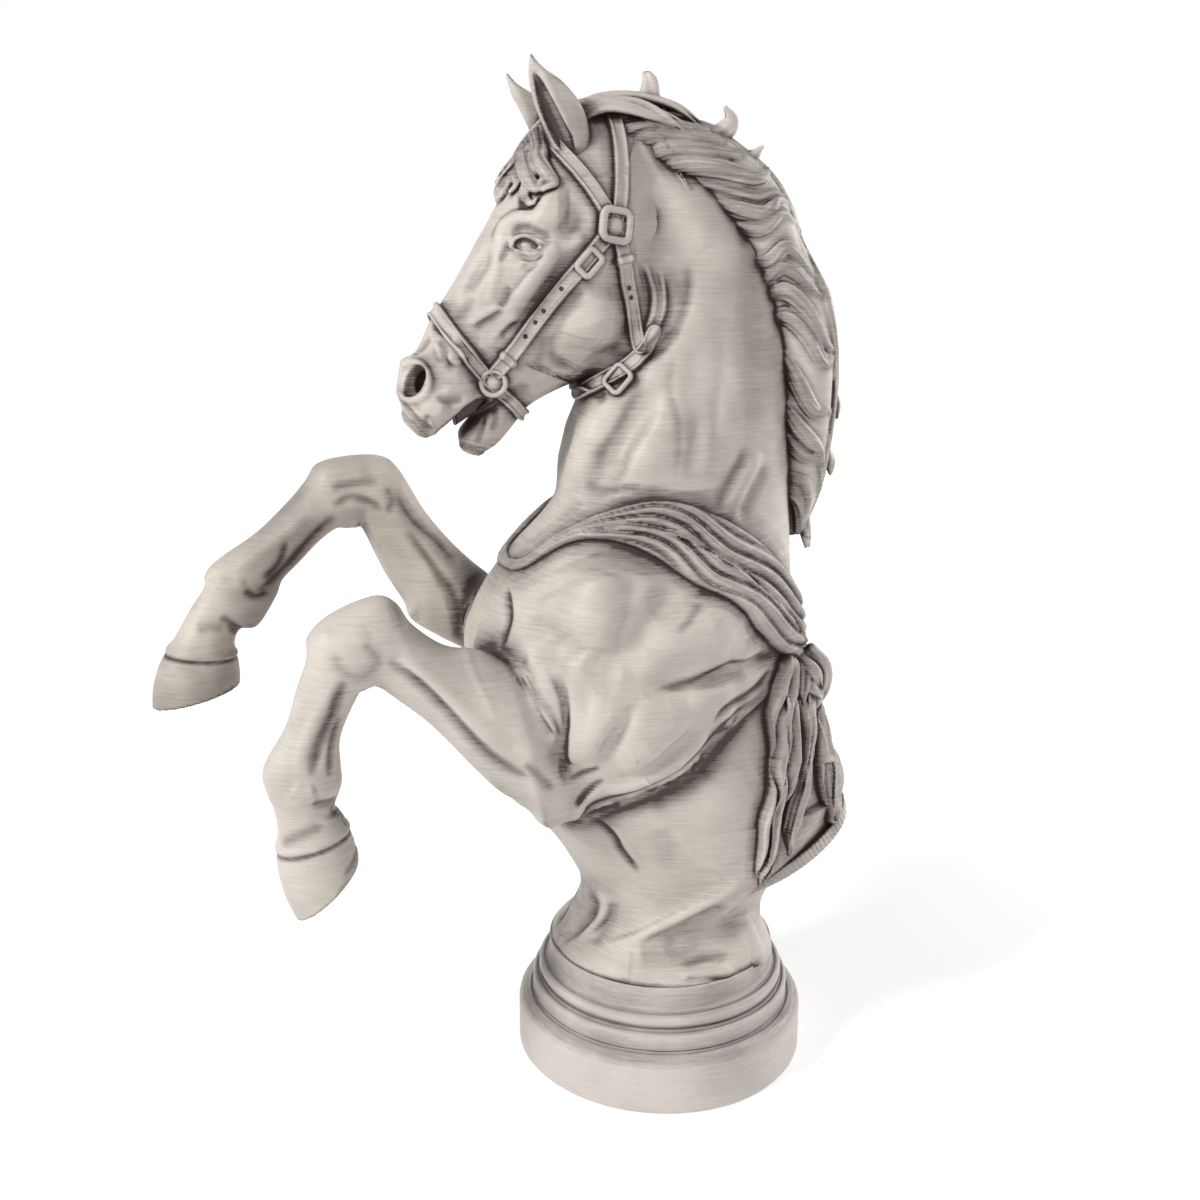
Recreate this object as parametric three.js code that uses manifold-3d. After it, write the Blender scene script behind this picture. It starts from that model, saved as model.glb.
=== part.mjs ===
// Horse bust: a rearing horse in a halter with a cloth collar,
// cut off under the chest and set on a round base.
// Millimetres, +Z up. The horse faces -X and its left side faces -Y.
// The origin is the middle of the flat underside of the base.
import * as THREE from 'three';
import { mergeVertices } from 'three/addons/utils/BufferGeometryUtils.js';
import Module from 'manifold-3d';

// Clearance between glued or resting pieces, and the finest detail that a cut leaves
const FIT = 0.3;
const SLIVER = 0.03;

// Round base, from the bottom up
const PLINTH_RADIUS = 32;
const PLINTH_HEIGHT = 12.5;
const PLINTH_SHOULDER = 3;
const STEP_RADIUS = 28.8;
const STEP_HEIGHT = 4.2;
const STEP_CHAMFER = 0.8;
const BEAD_RADIUS = 27.4;
const BEAD_HEIGHT = 3.2;
const DRUM_RADIUS = 25;
const DRUM_HEIGHT = 5.1;
const COVE_RADIUS = 0.8;
const COVE_STRETCH = 1.6;

// Horse: its height over the base, then full widths across the body
const HORSE_HEIGHT = 182.8;
const CHEST_WIDTH = 54;
const HEAD_WIDTH = 24;
const MANE_WIDTH = 14;
const LEG_WIDTH = 13.6;
const LEG_INSET = 9.5;
const EAR_SPACING = 15;
const EAR_WIDTH = 8.4;
const MANE_LOCKS = 6;
const LOCK_HEIGHT = 1.3;
const LOCK_SLANT = 1.7;
const CURL_LEAN = 1.5;

// Cut under the body: its height over the middle of the base, and its rise towards the tail
const CUT_HEIGHT = 13.5;
const CUT_SLOPE = 0.36;
const HEM_THICKNESS = 2;
const HEM_HEIGHT = 2.6;
const HEM_START = -14;

// Pedestal: its turn is in radians over TWIST_RISE
const PEDESTAL_WIDTH = 40;
const PEDESTAL_SETBACK = 1;
const PEDESTAL_FLATTENING = 0.97;
const TWIST_RISE = 8;
const TWIST_FOLDS = 5;
const TWIST_DEPTH = 1.3;
const TWIST_TURN = 0.35;

// Halter
const STRAP_WIDTH = 3;
const STRAP_THICKNESS = 1;
const NOSE_RING_RADIUS = 2.7;
const NOSE_RING_BAR = 0.9;
const NOSE_RING_BEVEL = 0.3;
const CHEEK_RING_SIZE = 7.4;
const CHEEK_RING_BAR = 1.3;
const CHEEK_RING_ROUNDING = 0.45;
const RING_THICKNESS = 1.7;
const KEEPER_LENGTH = 2.4;
const KEEPER_WALL = 1;
const KEEPER_CROWN = 0.7;
const STRAP_ROOT = 1.4;
const BUCKLE_LENGTH = 3.6;

// Cloth collar, its knot and its tails
const CLOTH_WIDTH = 9.5;
const CLOTH_THICKNESS = 2.8;
const CLOTH_FOLDS = 3;
const KNOT_RADIUS = 4.6;
const TAIL_WIDTH = 4;
const TAIL_THICKNESS = 2;
const CLOTH_STEPS = 17;
const CLOTH_LAP = 0.08;

// Eyes, ears, nostrils
const EYE_RADIUS = 2.6;
const EYE_DEPTH = 1.17;
const NOSTRIL_SIZE = [2.5, 1.9, 2.1];
const EAR_WALL = 1.3;
const EAR_CUP = 2.1;

// Alignment pins inside the joints
const PIN_RADIUS = 2.4;
const PIN_LENGTH = 12;
const BASE_PIN_RADIUS = 5;
const BASE_PIN_DEPTH = 6;

const STAND = PLINTH_HEIGHT + STEP_HEIGHT + BEAD_HEIGHT + DRUM_HEIGHT;
const LEG_SPACING = CHEST_WIDTH - 2 * LEG_INSET;
const LEFT = -1;
const RIGHT = 1;
const UP = new THREE.Vector3(0, 0, 1);
const ACROSS = new THREE.Vector3(0, 1, 0);

// The side elevation is drawn 182.8 units high, from the top of the base to the tips of the ears
const unit = HORSE_HEIGHT / 182.8;
const drawnAt = ([x, z]) => [x * unit, z * unit + STAND];

const wasm = await Module();
wasm.setup();

// Solids

function toSolid(geometry) {
  const bare = geometry.clone();
  bare.deleteAttribute('normal');
  bare.deleteAttribute('uv');
  const merged = mergeVertices(bare, 1e-4);
  const vertProperties = new Float32Array(merged.attributes.position.array);
  const triVerts = new Uint32Array(merged.index.array);
  return new wasm.Manifold(new wasm.Mesh({ numProp: 3, vertProperties, triVerts }));
}

function toGeometry(manifold) {
  const mesh = manifold.getMesh();
  const geometry = new THREE.BufferGeometry();
  geometry.setAttribute('position', new THREE.BufferAttribute(new Float32Array(mesh.vertProperties), 3));
  geometry.setIndex(new THREE.BufferAttribute(new Uint32Array(mesh.triVerts), 1));
  return geometry;
}

// A cut can leave crumbs behind, so the piece is its largest body, without edges shorter than SLIVER
function largest(manifold) {
  const bodies = manifold.simplify(SLIVER).decompose();
  bodies.sort((a, b) => b.volume() - a.volume());
  return bodies[0];
}

function placed(geometry, position, rotation) {
  const matrix = new THREE.Matrix4().makeRotationFromQuaternion(rotation ?? new THREE.Quaternion());
  matrix.setPosition(position);
  return toSolid(geometry.clone().applyMatrix4(matrix));
}

function ball(x, y, z, a, b, c, turn = 0) {
  const geometry = new THREE.SphereGeometry(1, 12, 7);
  geometry.scale(a, b, c);
  geometry.rotateY(turn);
  return placed(geometry, new THREE.Vector3(x, y, z));
}

// Skin over rings of equally many points, closed on itself or with a fan over each end
function skin(rings, loop = false) {
  const sides = rings[0].length;
  const points = rings.flat();
  const index = [];
  const spans = loop ? rings.length : rings.length - 1;
  for (let i = 0; i < spans; i++) {
    const next = (i + 1) % rings.length;
    for (let j = 0; j < sides; j++) {
      const k = (j + 1) % sides;
      index.push(i * sides + j, next * sides + j, next * sides + k);
      index.push(i * sides + j, next * sides + k, i * sides + k);
    }
  }
  if (!loop) {
    for (const end of [0, rings.length - 1]) {
      const middle = points.length;
      points.push(rings[end].reduce((sum, p) => sum.add(p), new THREE.Vector3()).divideScalar(sides));
      for (let j = 0; j < sides; j++) {
        const a = end * sides + j;
        const b = end * sides + ((j + 1) % sides);
        index.push(middle, ...(end === 0 ? [a, b] : [b, a]));
      }
    }
  }
  if (signedVolume(points, index) < 0) {
    index.reverse();
  }
  const geometry = new THREE.BufferGeometry().setFromPoints(points);
  geometry.setIndex(index);
  return geometry;
}

function signedVolume(points, index) {
  let volume = 0;
  for (let i = 0; i < index.length; i += 3) {
    const [a, b, c] = [points[index[i]], points[index[i + 1]], points[index[i + 2]]];
    volume += a.dot(new THREE.Vector3().crossVectors(b, c)) / 6;
  }
  return volume;
}

// A body drawn as a side elevation. Each row holds the two edges of one section and its half width:
// [edge x, edge z, other edge x, other edge z, half width, skew, middle y].
// A skew above 0 makes the section fuller at its first edge.
// A bump [x, z, radius, height] swells both flanks round a point of the elevation, or hollows them.
class Form {
  constructor(rows, sides, fullness = 1, bumps = []) {
    this.bumps = bumps;
    this.ripple = null;
    this.sides = sides;
    this.fullness = fullness;
    this.count = rows.length;
    const curve = (list) => new THREE.CatmullRomCurve3(list, false, 'catmullrom', 0.5);
    this.front = curve(rows.map((r) => new THREE.Vector3(r[0], r[6] ?? 0, r[1])));
    this.back = curve(rows.map((r) => new THREE.Vector3(r[2], r[6] ?? 0, r[3])));
    this.width = curve(rows.map((r) => new THREE.Vector3(r[4], r[5] ?? 0, 0)));
  }

  // u counts the rows, angle runs from the first edge (0) over the right side to the other edge (pi)
  at(u, angle, lift = 0, grow = 1) {
    const t = THREE.MathUtils.clamp(u / (this.count - 1), 0, 1);
    const front = this.front.getPoint(t);
    const back = this.back.getPoint(t);
    const size = this.width.getPoint(t);
    const axis = back.clone().sub(front);
    const depth = axis.length();
    axis.normalize();
    const wave = Math.sin(angle);
    const side = Math.sign(wave) * Math.abs(wave) ** this.fullness * (1 + size.y * Math.cos(angle));
    const reach = -Math.cos(angle) * (depth / 2 + lift) * grow;
    const point = front.add(back).multiplyScalar(0.5)
      .addScaledVector(axis, reach)
      .addScaledVector(ACROSS, side * (size.x + lift) * grow);
    for (const [x, z, radius, height] of this.bumps) {
      const away = ((point.x - x) ** 2 + (point.z - z) ** 2) / radius ** 2;
      point.y += wave * height * Math.exp(-away) * grow;
    }
    if (this.ripple) {
      const { count, height, slant } = this.ripple;
      const around = THREE.MathUtils.euclideanModulo(angle + Math.PI, 2 * Math.PI) - Math.PI;
      const turn = Math.abs(around) / Math.PI;
      const phase = Math.PI * (2 * count * t - slant * turn);
      const swell = height * Math.sin(phase) * Math.min(1, 3 * turn) * grow;
      point.addScaledVector(ACROSS, wave * swell).addScaledVector(axis, -Math.cos(angle) * swell);
    }
    return point;
  }

  ring(u, lift, grow = 1, shift = new THREE.Vector3()) {
    const points = [];
    for (let j = 0; j < this.sides; j++) {
      points.push(this.at(u, (2 * Math.PI * j) / this.sides, lift, grow).add(shift));
    }
    return points;
  }

  endDirection(u, towards) {
    const middle = (v) => this.at(v, 0).add(this.at(v, Math.PI)).multiplyScalar(0.5);
    const axis = this.at(u, Math.PI).sub(this.at(u, 0));
    const out = new THREE.Vector3().crossVectors(axis, ACROSS).normalize();
    return out.dot(middle(u).sub(middle(towards))) < 0 ? out.negate() : out;
  }

  // Closed body between two rows, with a dome of the given depth on each end
  body({ from = 0, to = this.count - 1, steps = 2, domes = [0, 0], lift = 0 } = {}) {
    const rings = [];
    const rows = Math.max(1, Math.round((to - from) * steps));
    const dome = (u, towards, depth) => {
      const out = this.endDirection(u, towards);
      const part = [];
      for (const share of depth > 0 ? [0.45, 0.8, 0.97] : [1]) {
        const grow = depth > 0 ? Math.sqrt(1 - share * share) : 1;
        part.push(this.ring(u, lift, grow, out.clone().multiplyScalar((depth + lift) * share)));
      }
      return part;
    };
    if (domes[0] > 0 || lift > 0) {
      rings.push(...dome(from, from + 0.5, domes[0]).reverse());
    }
    for (let i = 0; i <= rows; i++) {
      rings.push(this.ring(from + ((to - from) * i) / rows, lift));
    }
    if (domes[1] > 0 || lift > 0) {
      rings.push(...dome(to, to - 0.5, domes[1]));
    }
    return toSolid(skin(rings));
  }

  // The section on which a point of the side elevation lies, as [u, angle]
  find(x, z, side) {
    let best = [0, Infinity];
    const cross = (u) => {
      const a = this.at(u, 0);
      const b = this.at(u, Math.PI);
      return ((b.x - a.x) * (z - a.z) - (b.z - a.z) * (x - a.x)) / Math.hypot(b.x - a.x, b.z - a.z);
    };
    for (let u = 0; u <= this.count - 1; u += 0.02) {
      const a = this.at(u, 0);
      const b = this.at(u, Math.PI);
      const share = ((x - a.x) * (b.x - a.x) + (z - a.z) * (b.z - a.z)) / a.distanceToSquared(b);
      const miss = Math.abs(cross(u)) + 20 * Math.max(0, share - 1, -share);
      if (miss < best[1]) {
        best = [u, miss, THREE.MathUtils.clamp(share, 0, 1)];
      }
    }
    return [best[0], side * Math.acos(1 - 2 * best[2])];
  }

  // Surface point and outward direction there
  touch(u, angle) {
    const step = 0.02;
    const along = this.at(u + step, angle).sub(this.at(u - step, angle));
    const around = this.at(u, angle + step).sub(this.at(u, angle - step));
    const point = this.at(u, angle);
    const normal = new THREE.Vector3().crossVectors(along, around).normalize();
    const middle = this.at(u, 0).add(this.at(u, Math.PI)).multiplyScalar(0.5);
    if (normal.dot(point.clone().sub(middle)) < 0) {
      normal.negate();
    }
    return { point, normal };
  }
}

// Bands that lie on a form

function routeOn(form, points, side) {
  const spots = points.map(([x, z]) => form.find(x, z, side));
  return new THREE.CatmullRomCurve3(spots.map(([u, angle]) => new THREE.Vector3(u, angle, 0)));
}

function touches(form, route, count) {
  const list = [];
  for (let i = 0; i <= count; i++) {
    const spot = route.getPoint(i / count);
    list.push(form.touch(spot.x, spot.y));
  }
  return list;
}

// Cross-section points of a band are [share of the width, height over the surface]
function band(spots, width, profile, loop = false) {
  const rings = spots.map(({ point, normal }, i) => {
    const before = spots[loop ? (i + spots.length - 1) % spots.length : Math.max(i - 1, 0)].point;
    const after = spots[loop ? (i + 1) % spots.length : Math.min(i + 1, spots.length - 1)].point;
    const along = after.clone().sub(before).normalize();
    const across = new THREE.Vector3().crossVectors(along, normal).normalize();
    const size = typeof width === 'function' ? width(i / (spots.length - (loop ? 0 : 1))) : width;
    return profile.map(([share, height]) => point.clone()
      .addScaledVector(across, share * size)
      .addScaledVector(normal, height));
  });
  return toSolid(skin(rings, loop));
}

function strapProfile(thickness) {
  const edge = thickness + FIT;
  return [[-0.5, -STRAP_ROOT], [-0.5, edge], [0.5, edge], [0.5, -STRAP_ROOT]];
}

// Strap along spots on a form, wider and thicker by the gap where it is used as a cutter
function strap(spots, gap = 0) {
  return band(spots, STRAP_WIDTH + 2 * gap, strapProfile(STRAP_THICKNESS + gap));
}

// Spots from one side over the first edge of a form to the other side; the points start at that edge
function overFront(form, points, count = 16) {
  const spots = points.map(([x, z]) => form.find(x, z, RIGHT));
  const right = spots.map(([u, angle]) => new THREE.Vector3(u, angle, 0));
  const left = spots.slice(1).map(([u, angle]) => new THREE.Vector3(u, -angle, 0)).reverse();
  right[0].y = 0;
  return touches(form, new THREE.CatmullRomCurve3([...left, ...right]), count);
}

// The same round the other edge
function overBack(form, points, count = 8) {
  const spots = points.map(([x, z]) => form.find(x, z, RIGHT));
  const right = spots.map(([u, angle]) => new THREE.Vector3(u, angle, 0));
  const left = spots.slice(1).map(([u, angle]) => new THREE.Vector3(u, 2 * Math.PI - angle, 0)).reverse();
  right[0].y = Math.PI;
  return touches(form, new THREE.CatmullRomCurve3([...left, ...right]), count);
}

// A turned piece, standing on a form at a point of the side elevation
function standOn(form, x, z, side, geometry, turn = 0) {
  const [u, angle] = form.find(x, z, side);
  const { point, normal } = form.touch(u, angle);
  const rotation = new THREE.Quaternion().setFromUnitVectors(UP, normal);
  rotation.multiply(new THREE.Quaternion().setFromAxisAngle(UP, turn));
  return placed(geometry, point, rotation);
}

// Forms of the horse, drawn over the table of the base

const overStand = (rows, width, y = 0) => rows.map(([ax, az, bx, bz, share, skew = 0]) => (
  [...drawnAt([ax, az]), ...drawnAt([bx, bz]), share * width / 2, skew, y]));

const headRows = overStand([
  [-13.5, 174.8, -3, 158, 0.5, 0],
  [-21.5, 173.5, -4, 153, 0.7, 0],
  [-30, 165.5, -3, 145.5, 0.9, 0.12],
  [-35, 158, -4, 136, 1, 0.12],
  [-37.5, 153, -8.5, 129, 1, 0.1],
  [-40.5, 148, -17, 125, 0.86, 0.05],
  [-44.5, 142, -24.5, 122.5, 0.72, 0],
  [-48.5, 136, -31, 120.5, 0.64, 0],
  [-51, 131, -35, 119.8, 0.62, 0],
  [-54, 127, -40.5, 118, 0.66, 0],
  [-55.5, 123, -45.5, 115, 0.6, 0],
  [-54.5, 118.5, -49.5, 113.5, 0.4, 0],
], HEAD_WIDTH);

const jawRows = overStand([
  [-31, 127, -22, 123.5, 0.5],
  [-36.5, 122, -29.5, 119.5, 0.48],
  [-41, 117.5, -32.5, 116, 0.46],
  [-43.5, 114.5, -36, 112, 0.42],
  [-43.5, 112, -38.5, 110.3, 0.28],
], HEAD_WIDTH);

const trunkRows = overStand([
  [-15, 149, -6, 171, 0.2, 0.2],
  [-14, 140, 4, 167.5, 0.26, 0.2],
  [-17, 132, 12, 161, 0.31, 0.2],
  [-18.5, 126, 20, 149.5, 0.39, 0.25],
  [-19.5, 118, 24.5, 131.5, 0.46, 0.25],
  [-21, 110, 25.5, 115, 0.54, 0.2],
  [-23, 102, 26, 98, 0.64, 0.15],
  [-26.5, 96.5, 26.5, 84.5, 0.76, 0.1],
  [-34.5, 88, 27, 76, 0.9, 0.05],
  [-40.5, 79, 28.5, 66.5, 0.94, 0.12],
  [-43, 69, 31.5, 55, 0.94, 0.2],
  [-39.5, 52.5, 36.5, 42.5, 0.92, 0.2],
  [-30, 34.5, 40.3, 31, 0.86, 0.1],
  [-22.5, 23.5, 39.5, 20, 0.8, 0],
  [-17.5, 13, 39, 8, 0.7, 0],
  [-17, 2, 38, -6, 0.66, 0],
], CHEST_WIDTH);

const leftLegRows = overStand([
  [-22, 66, -10, 44, 0.8],
  [-36, 71, -27.5, 36, 1.36],
  [-42.5, 74, -34, 41.5, 1.3],
  [-49.5, 75.5, -41, 46.5, 1.2],
  [-55.5, 80, -52, 59, 1.02],
  [-58.5, 84.5, -58.5, 65, 0.96],
  [-62.5, 86, -62.5, 68.5, 1],
  [-70.5, 83, -64, 68.5, 1.02],
  [-75, 79, -65, 68, 0.96],
  [-75.5, 74.5, -66, 67.5, 0.84],
  [-77.5, 69, -68.5, 62.5, 0.68],
  [-80, 61.5, -70, 58, 0.64],
  [-84.5, 53.5, -70, 53, 0.8],
  [-84, 48.5, -70, 49.5, 0.8],
  [-83, 45.5, -71.5, 45, 0.74],
  [-82.5, 41, -70, 43, 0.86],
  [-83, 34.5, -68.5, 38.5, 1],
  [-82, 28, -67.5, 35, 1.1],
  [-80, 22.5, -67.5, 33, 1.14],
], LEG_WIDTH, LEFT * LEG_SPACING / 2);

const rightLegRows = overStand([
  [-16, 66, -26, 48, 0.8],
  [-33, 79, -43, 65, 1.3],
  [-41.5, 86.5, -52, 71.5, 1.24],
  [-48.5, 95, -54, 76, 1.12],
  [-54, 104.5, -58, 83, 1.04],
  [-58, 107.5, -62, 92, 1],
  [-65.5, 107.5, -63.5, 92.5, 1.02],
  [-71, 106, -65.5, 92.5, 1],
  [-73.5, 102.5, -67.5, 92.5, 0.9],
  [-77.5, 98, -71, 90, 0.72],
  [-84, 92, -75.5, 85.5, 0.66],
  [-91.5, 87, -79, 82, 0.8],
  [-94.5, 84, -80.5, 78.5, 0.82],
  [-95, 81, -84.5, 72.5, 0.76],
  [-98, 76.5, -88, 72, 0.74],
  [-101, 71.5, -89.5, 69, 0.86],
  [-104.5, 66, -89, 65, 1],
  [-106.5, 60.5, -88.8, 62, 1.1],
  [-107, 56, -89, 60, 1.14],
], LEG_WIDTH, RIGHT * LEG_SPACING / 2);

const LOWER_LEG_ROW = 8;
const HOOF_ROW = 15;

const maneRows = overStand([
  [-13, 168, -16, 174.6, 0.6],
  [-6, 165, -5.5, 175.5, 0.8],
  [1.5, 161, 4.5, 173, 0.95],
  [7.5, 156, 11, 170, 1],
  [13, 149.5, 18.8, 164.8, 1],
  [16.5, 143, 23.6, 158, 1],
  [19.5, 136, 27.5, 150, 1],
  [21.5, 127, 32.8, 140, 1],
  [22, 117, 35, 127, 1],
  [22.5, 108, 35, 114, 0.95],
  [22.5, 100, 33.5, 101.5, 0.85],
  [23, 93, 30, 92, 0.6],
], MANE_WIDTH);

// Shoulder, upper arm and elbow, the point of the shoulder, and the furrow between them
const muscles = [
  [-14, 80, 15, 2.6],
  [4, 64, 10, 2.4],
  [-23, 56, 10, 3.4],
  [-12, 48, 8, 1.2],
  [-7, 66, 6, -1.8],
  [-26, 88, 7, 1.6],
].map(([x, z, radius, height]) => [...drawnAt([x, z]), radius * unit, height * unit]);

const head = new Form(headRows, 16, 0.85);
const jaw = new Form(jawRows, 12, 0.8);
const trunk = new Form(trunkRows, 22, 0.9, muscles);
const mane = new Form(maneRows, 12, 0.9);
mane.ripple = { count: MANE_LOCKS, height: LOCK_HEIGHT, slant: LOCK_SLANT };
const legs = { left: new Form(leftLegRows, 12, 0.9), right: new Form(rightLegRows, 12, 0.9) };

const domes = (first, second) => [first * unit, second * unit];
const headBody = (gap = 0) => head.body({ domes: domes(5, 1.6), steps: 1.5, lift: gap });
const trunkBody = (gap = 0) => trunk.body({ domes: domes(3, 2), steps: 1.8, lift: gap });

// Lock of hair or a fold of cloth: a tapered round body along points [x, y, z] with a radius for each
function lock(points, radii, sides = 6, steps = 7) {
  const path = new THREE.CatmullRomCurve3(points);
  const size = new THREE.CatmullRomCurve3(radii.map((r) => new THREE.Vector3(r, 0, 0)));
  size.curveType = 'catmullrom';
  const frames = path.computeFrenetFrames(steps, false);
  const rings = [];
  for (let i = 0; i <= steps; i++) {
    const middle = path.getPointAt(i / steps);
    const radius = Math.max(size.getPoint(i / steps).x, 0.25) * unit;
    rings.push(Array.from({ length: sides }, (_, j) => {
      const angle = (2 * Math.PI * j) / sides;
      return middle.clone()
        .addScaledVector(frames.normals[i], Math.cos(angle) * radius)
        .addScaledVector(frames.binormals[i], Math.sin(angle) * radius);
    }));
  }
  return toSolid(skin(rings));
}

function lathe(points, segments = 32) {
  const geometry = new THREE.LatheGeometry(points.map(([x, z]) => new THREE.Vector2(x, z)), segments);
  geometry.rotateX(Math.PI / 2);
  return geometry;
}

function pin(middle, direction, radius = PIN_RADIUS, length = PIN_LENGTH) {
  const rotation = new THREE.Quaternion().setFromUnitVectors(ACROSS, direction.clone().normalize());
  const rod = (gap) => placed(new THREE.CylinderGeometry(radius + gap, radius + gap, length + 2 * gap, 14),
    middle, rotation);
  return { solid: rod(0), socket: rod(FIT) };
}

const cutLength = Math.hypot(1, CUT_SLOPE);
const cutNormal = [-CUT_SLOPE / cutLength, 0, 1 / cutLength];
const cutOffset = (STAND + CUT_HEIGHT) / cutLength;
const below = (manifold, offset) => manifold.trimByPlane(cutNormal.map((n) => -n), -offset);
const above = (manifold, offset) => manifold.trimByPlane(cutNormal, offset);

const pieces = {};

// Round base
const stepTop = PLINTH_HEIGHT + STEP_HEIGHT;
const beadTop = stepTop + BEAD_HEIGHT;
const shoulder = Array.from({ length: 4 }, (_, i) => {
  const angle = (Math.PI / 2) * (i / 3);
  return [PLINTH_RADIUS - PLINTH_SHOULDER * (1 - Math.cos(angle)),
    PLINTH_HEIGHT - PLINTH_SHOULDER * (1 - Math.sin(angle))];
});
const beadArc = Array.from({ length: 5 }, (_, i) => {
  const angle = Math.PI * (i / 4 - 0.5);
  const half = BEAD_HEIGHT / 2;
  return [BEAD_RADIUS - half * (1 - Math.cos(angle)), stepTop + half * (1 + Math.sin(angle))];
});
const cove = Array.from({ length: 4 }, (_, i) => {
  const angle = (Math.PI / 2) * (i / 3);
  const rise = COVE_RADIUS * COVE_STRETCH * (1 - Math.cos(angle));
  return [DRUM_RADIUS + COVE_RADIUS * (1 - Math.sin(angle)), beadTop + rise];
});
const basePin = pin(new THREE.Vector3(0, 0, (PLINTH_HEIGHT + STAND) / 2), UP, BASE_PIN_RADIUS,
  STAND - PLINTH_HEIGHT + 2 * BASE_PIN_DEPTH);
pieces.base_plinth = toSolid(lathe([[0, 0], [PLINTH_RADIUS, 0], ...shoulder, [0, PLINTH_HEIGHT]]))
  .subtract(basePin.socket);
pieces.base_step = toSolid(lathe([[0, PLINTH_HEIGHT], [STEP_RADIUS, PLINTH_HEIGHT],
  [STEP_RADIUS, stepTop - STEP_CHAMFER], [STEP_RADIUS - STEP_CHAMFER, stepTop], [0, stepTop]]))
  .subtract(basePin.socket);
pieces.base_bead = toSolid(lathe([[0, stepTop], ...beadArc, [0, beadTop]])).subtract(basePin.socket);
pieces.base_drum = toSolid(lathe([[0, beadTop], ...cove, [DRUM_RADIUS, STAND], [0, STAND]]))
  .subtract(basePin.socket);
pieces.base_pin = basePin.solid;

// Twisted pedestal, from the drum up to the cut
// Rows of [height, shift to the back, share of the way out from the waist to the foot]
const pedestalRows = [
  [0, 0, 1], [2.4, 0.2, 0.65], [5, 0.8, 0.25], [8, 1.4, 0], [11, 2, -0.05],
  [15, 4, 0.1], [20, 7, 0.3], [26, 10, 0.5], [34, 14, 0.5],
].map(([z, shift, share]) => [z * unit, shift * unit, share]);
const waist = PEDESTAL_WIDTH / 2;
const foot = DRUM_RADIUS - PEDESTAL_SETBACK;
const pedestal = toSolid(skin(pedestalRows.map(([z, shift, share]) => {
  const sides = 36;
  return Array.from({ length: sides }, (_, j) => {
    const angle = (2 * Math.PI * j) / sides;
    const rise = z / TWIST_RISE;
    const fold = Math.sin(TWIST_FOLDS * (angle - TWIST_TURN * rise)) * TWIST_DEPTH * Math.min(rise, 1);
    const radius = THREE.MathUtils.lerp(waist, foot, share) + fold;
    const y = Math.sin(angle) * radius * PEDESTAL_FLATTENING;
    return new THREE.Vector3(shift + Math.cos(angle) * radius, y, STAND + z);
  });
})));
pieces.pedestal = largest(below(pedestal, cutOffset - FIT).subtract(basePin.socket));

// Trunk, parted along the cloth collar
const collarLine = [
  [-44, 84], [-38, 88], [-32, 92.5], [-25, 97], [-16, 99.5], [-8, 98.5],
  [0, 95.5], [8, 90], [15, 83], [21, 77], [27, 71], [36, 65],
].map((spot) => new THREE.Vector2(...drawnAt(spot)));
function overCollar(shift) {
  const reach = 1.5 * CHEST_WIDTH;
  const top = collarLine.at(-1).y + 2 * reach;
  const line = new THREE.SplineCurve(collarLine).getPoints(16);
  const outline = [
    new THREE.Vector2(-reach, line[0].y + shift),
    ...line.map((p) => new THREE.Vector2(p.x, p.y + shift)),
    new THREE.Vector2(reach, line.at(-1).y + shift),
    new THREE.Vector2(reach, top),
    new THREE.Vector2(-reach, top),
  ];
  const shape = new THREE.Shape(outline);
  const geometry = new THREE.ExtrudeGeometry(shape, { depth: 2 * reach, bevelEnabled: false });
  geometry.rotateX(Math.PI / 2);
  geometry.translate(0, reach, 0);
  return toSolid(geometry);
}

const wholeTrunk = trunkBody(0);
const trunkCutter = trunkBody(FIT);
const headCutter = headBody(FIT);

// Alignment pins
const high = (x, z, y = 0) => new THREE.Vector3(x * unit, y, z * unit + STAND);
const headPin = pin(high(-4, 155), high(-16, 158).sub(high(2, 151)));
const neckPin = pin(high(0, 95.5), UP);
const legPins = {
  left: pin(high(-31, 54, LEFT * LEG_SPACING / 2), new THREE.Vector3(1, 0, 0)),
  right: pin(high(-33, 71, RIGHT * LEG_SPACING / 2), high(1, 0.8).sub(high(0, 1.6))),
};
pieces.neck = largest(wholeTrunk.intersect(overCollar(FIT / 2)).subtract(headCutter)
  .subtract(headPin.socket).subtract(neckPin.socket));
pieces.torso = largest(above(wholeTrunk.subtract(overCollar(-FIT / 2)), cutOffset)
  .subtract(neckPin.socket).subtract(legPins.left.socket).subtract(legPins.right.socket));
pieces.neck_pin = neckPin.solid;
pieces.head_pin = headPin.solid;

// Hem round the cut
const hemBand = below(above(trunkBody(HEM_THICKNESS), cutOffset - FIT), cutOffset + HEM_HEIGHT);
pieces.hem = largest(hemBand.subtract(trunkCutter).trimByPlane([1, 0, 0], HEM_START));

// Legs
for (const [name, form] of Object.entries(legs)) {
  const whole = (from, to, gap = 0) => form.body({ from, to, lift: gap });
  const upper = form.body({ from: 0, to: LOWER_LEG_ROW, domes: [0, 0] });
  pieces[`${name}_upper_leg`] = largest(upper.subtract(trunkCutter).subtract(legPins[name].socket));
  pieces[`${name}_lower_leg`] = whole(LOWER_LEG_ROW + 0.06, HOOF_ROW);
  pieces[`${name}_hoof`] = whole(HOOF_ROW + 0.06, form.count - 1);
  pieces[`${name}_leg_pin`] = legPins[name].solid;
}

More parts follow.
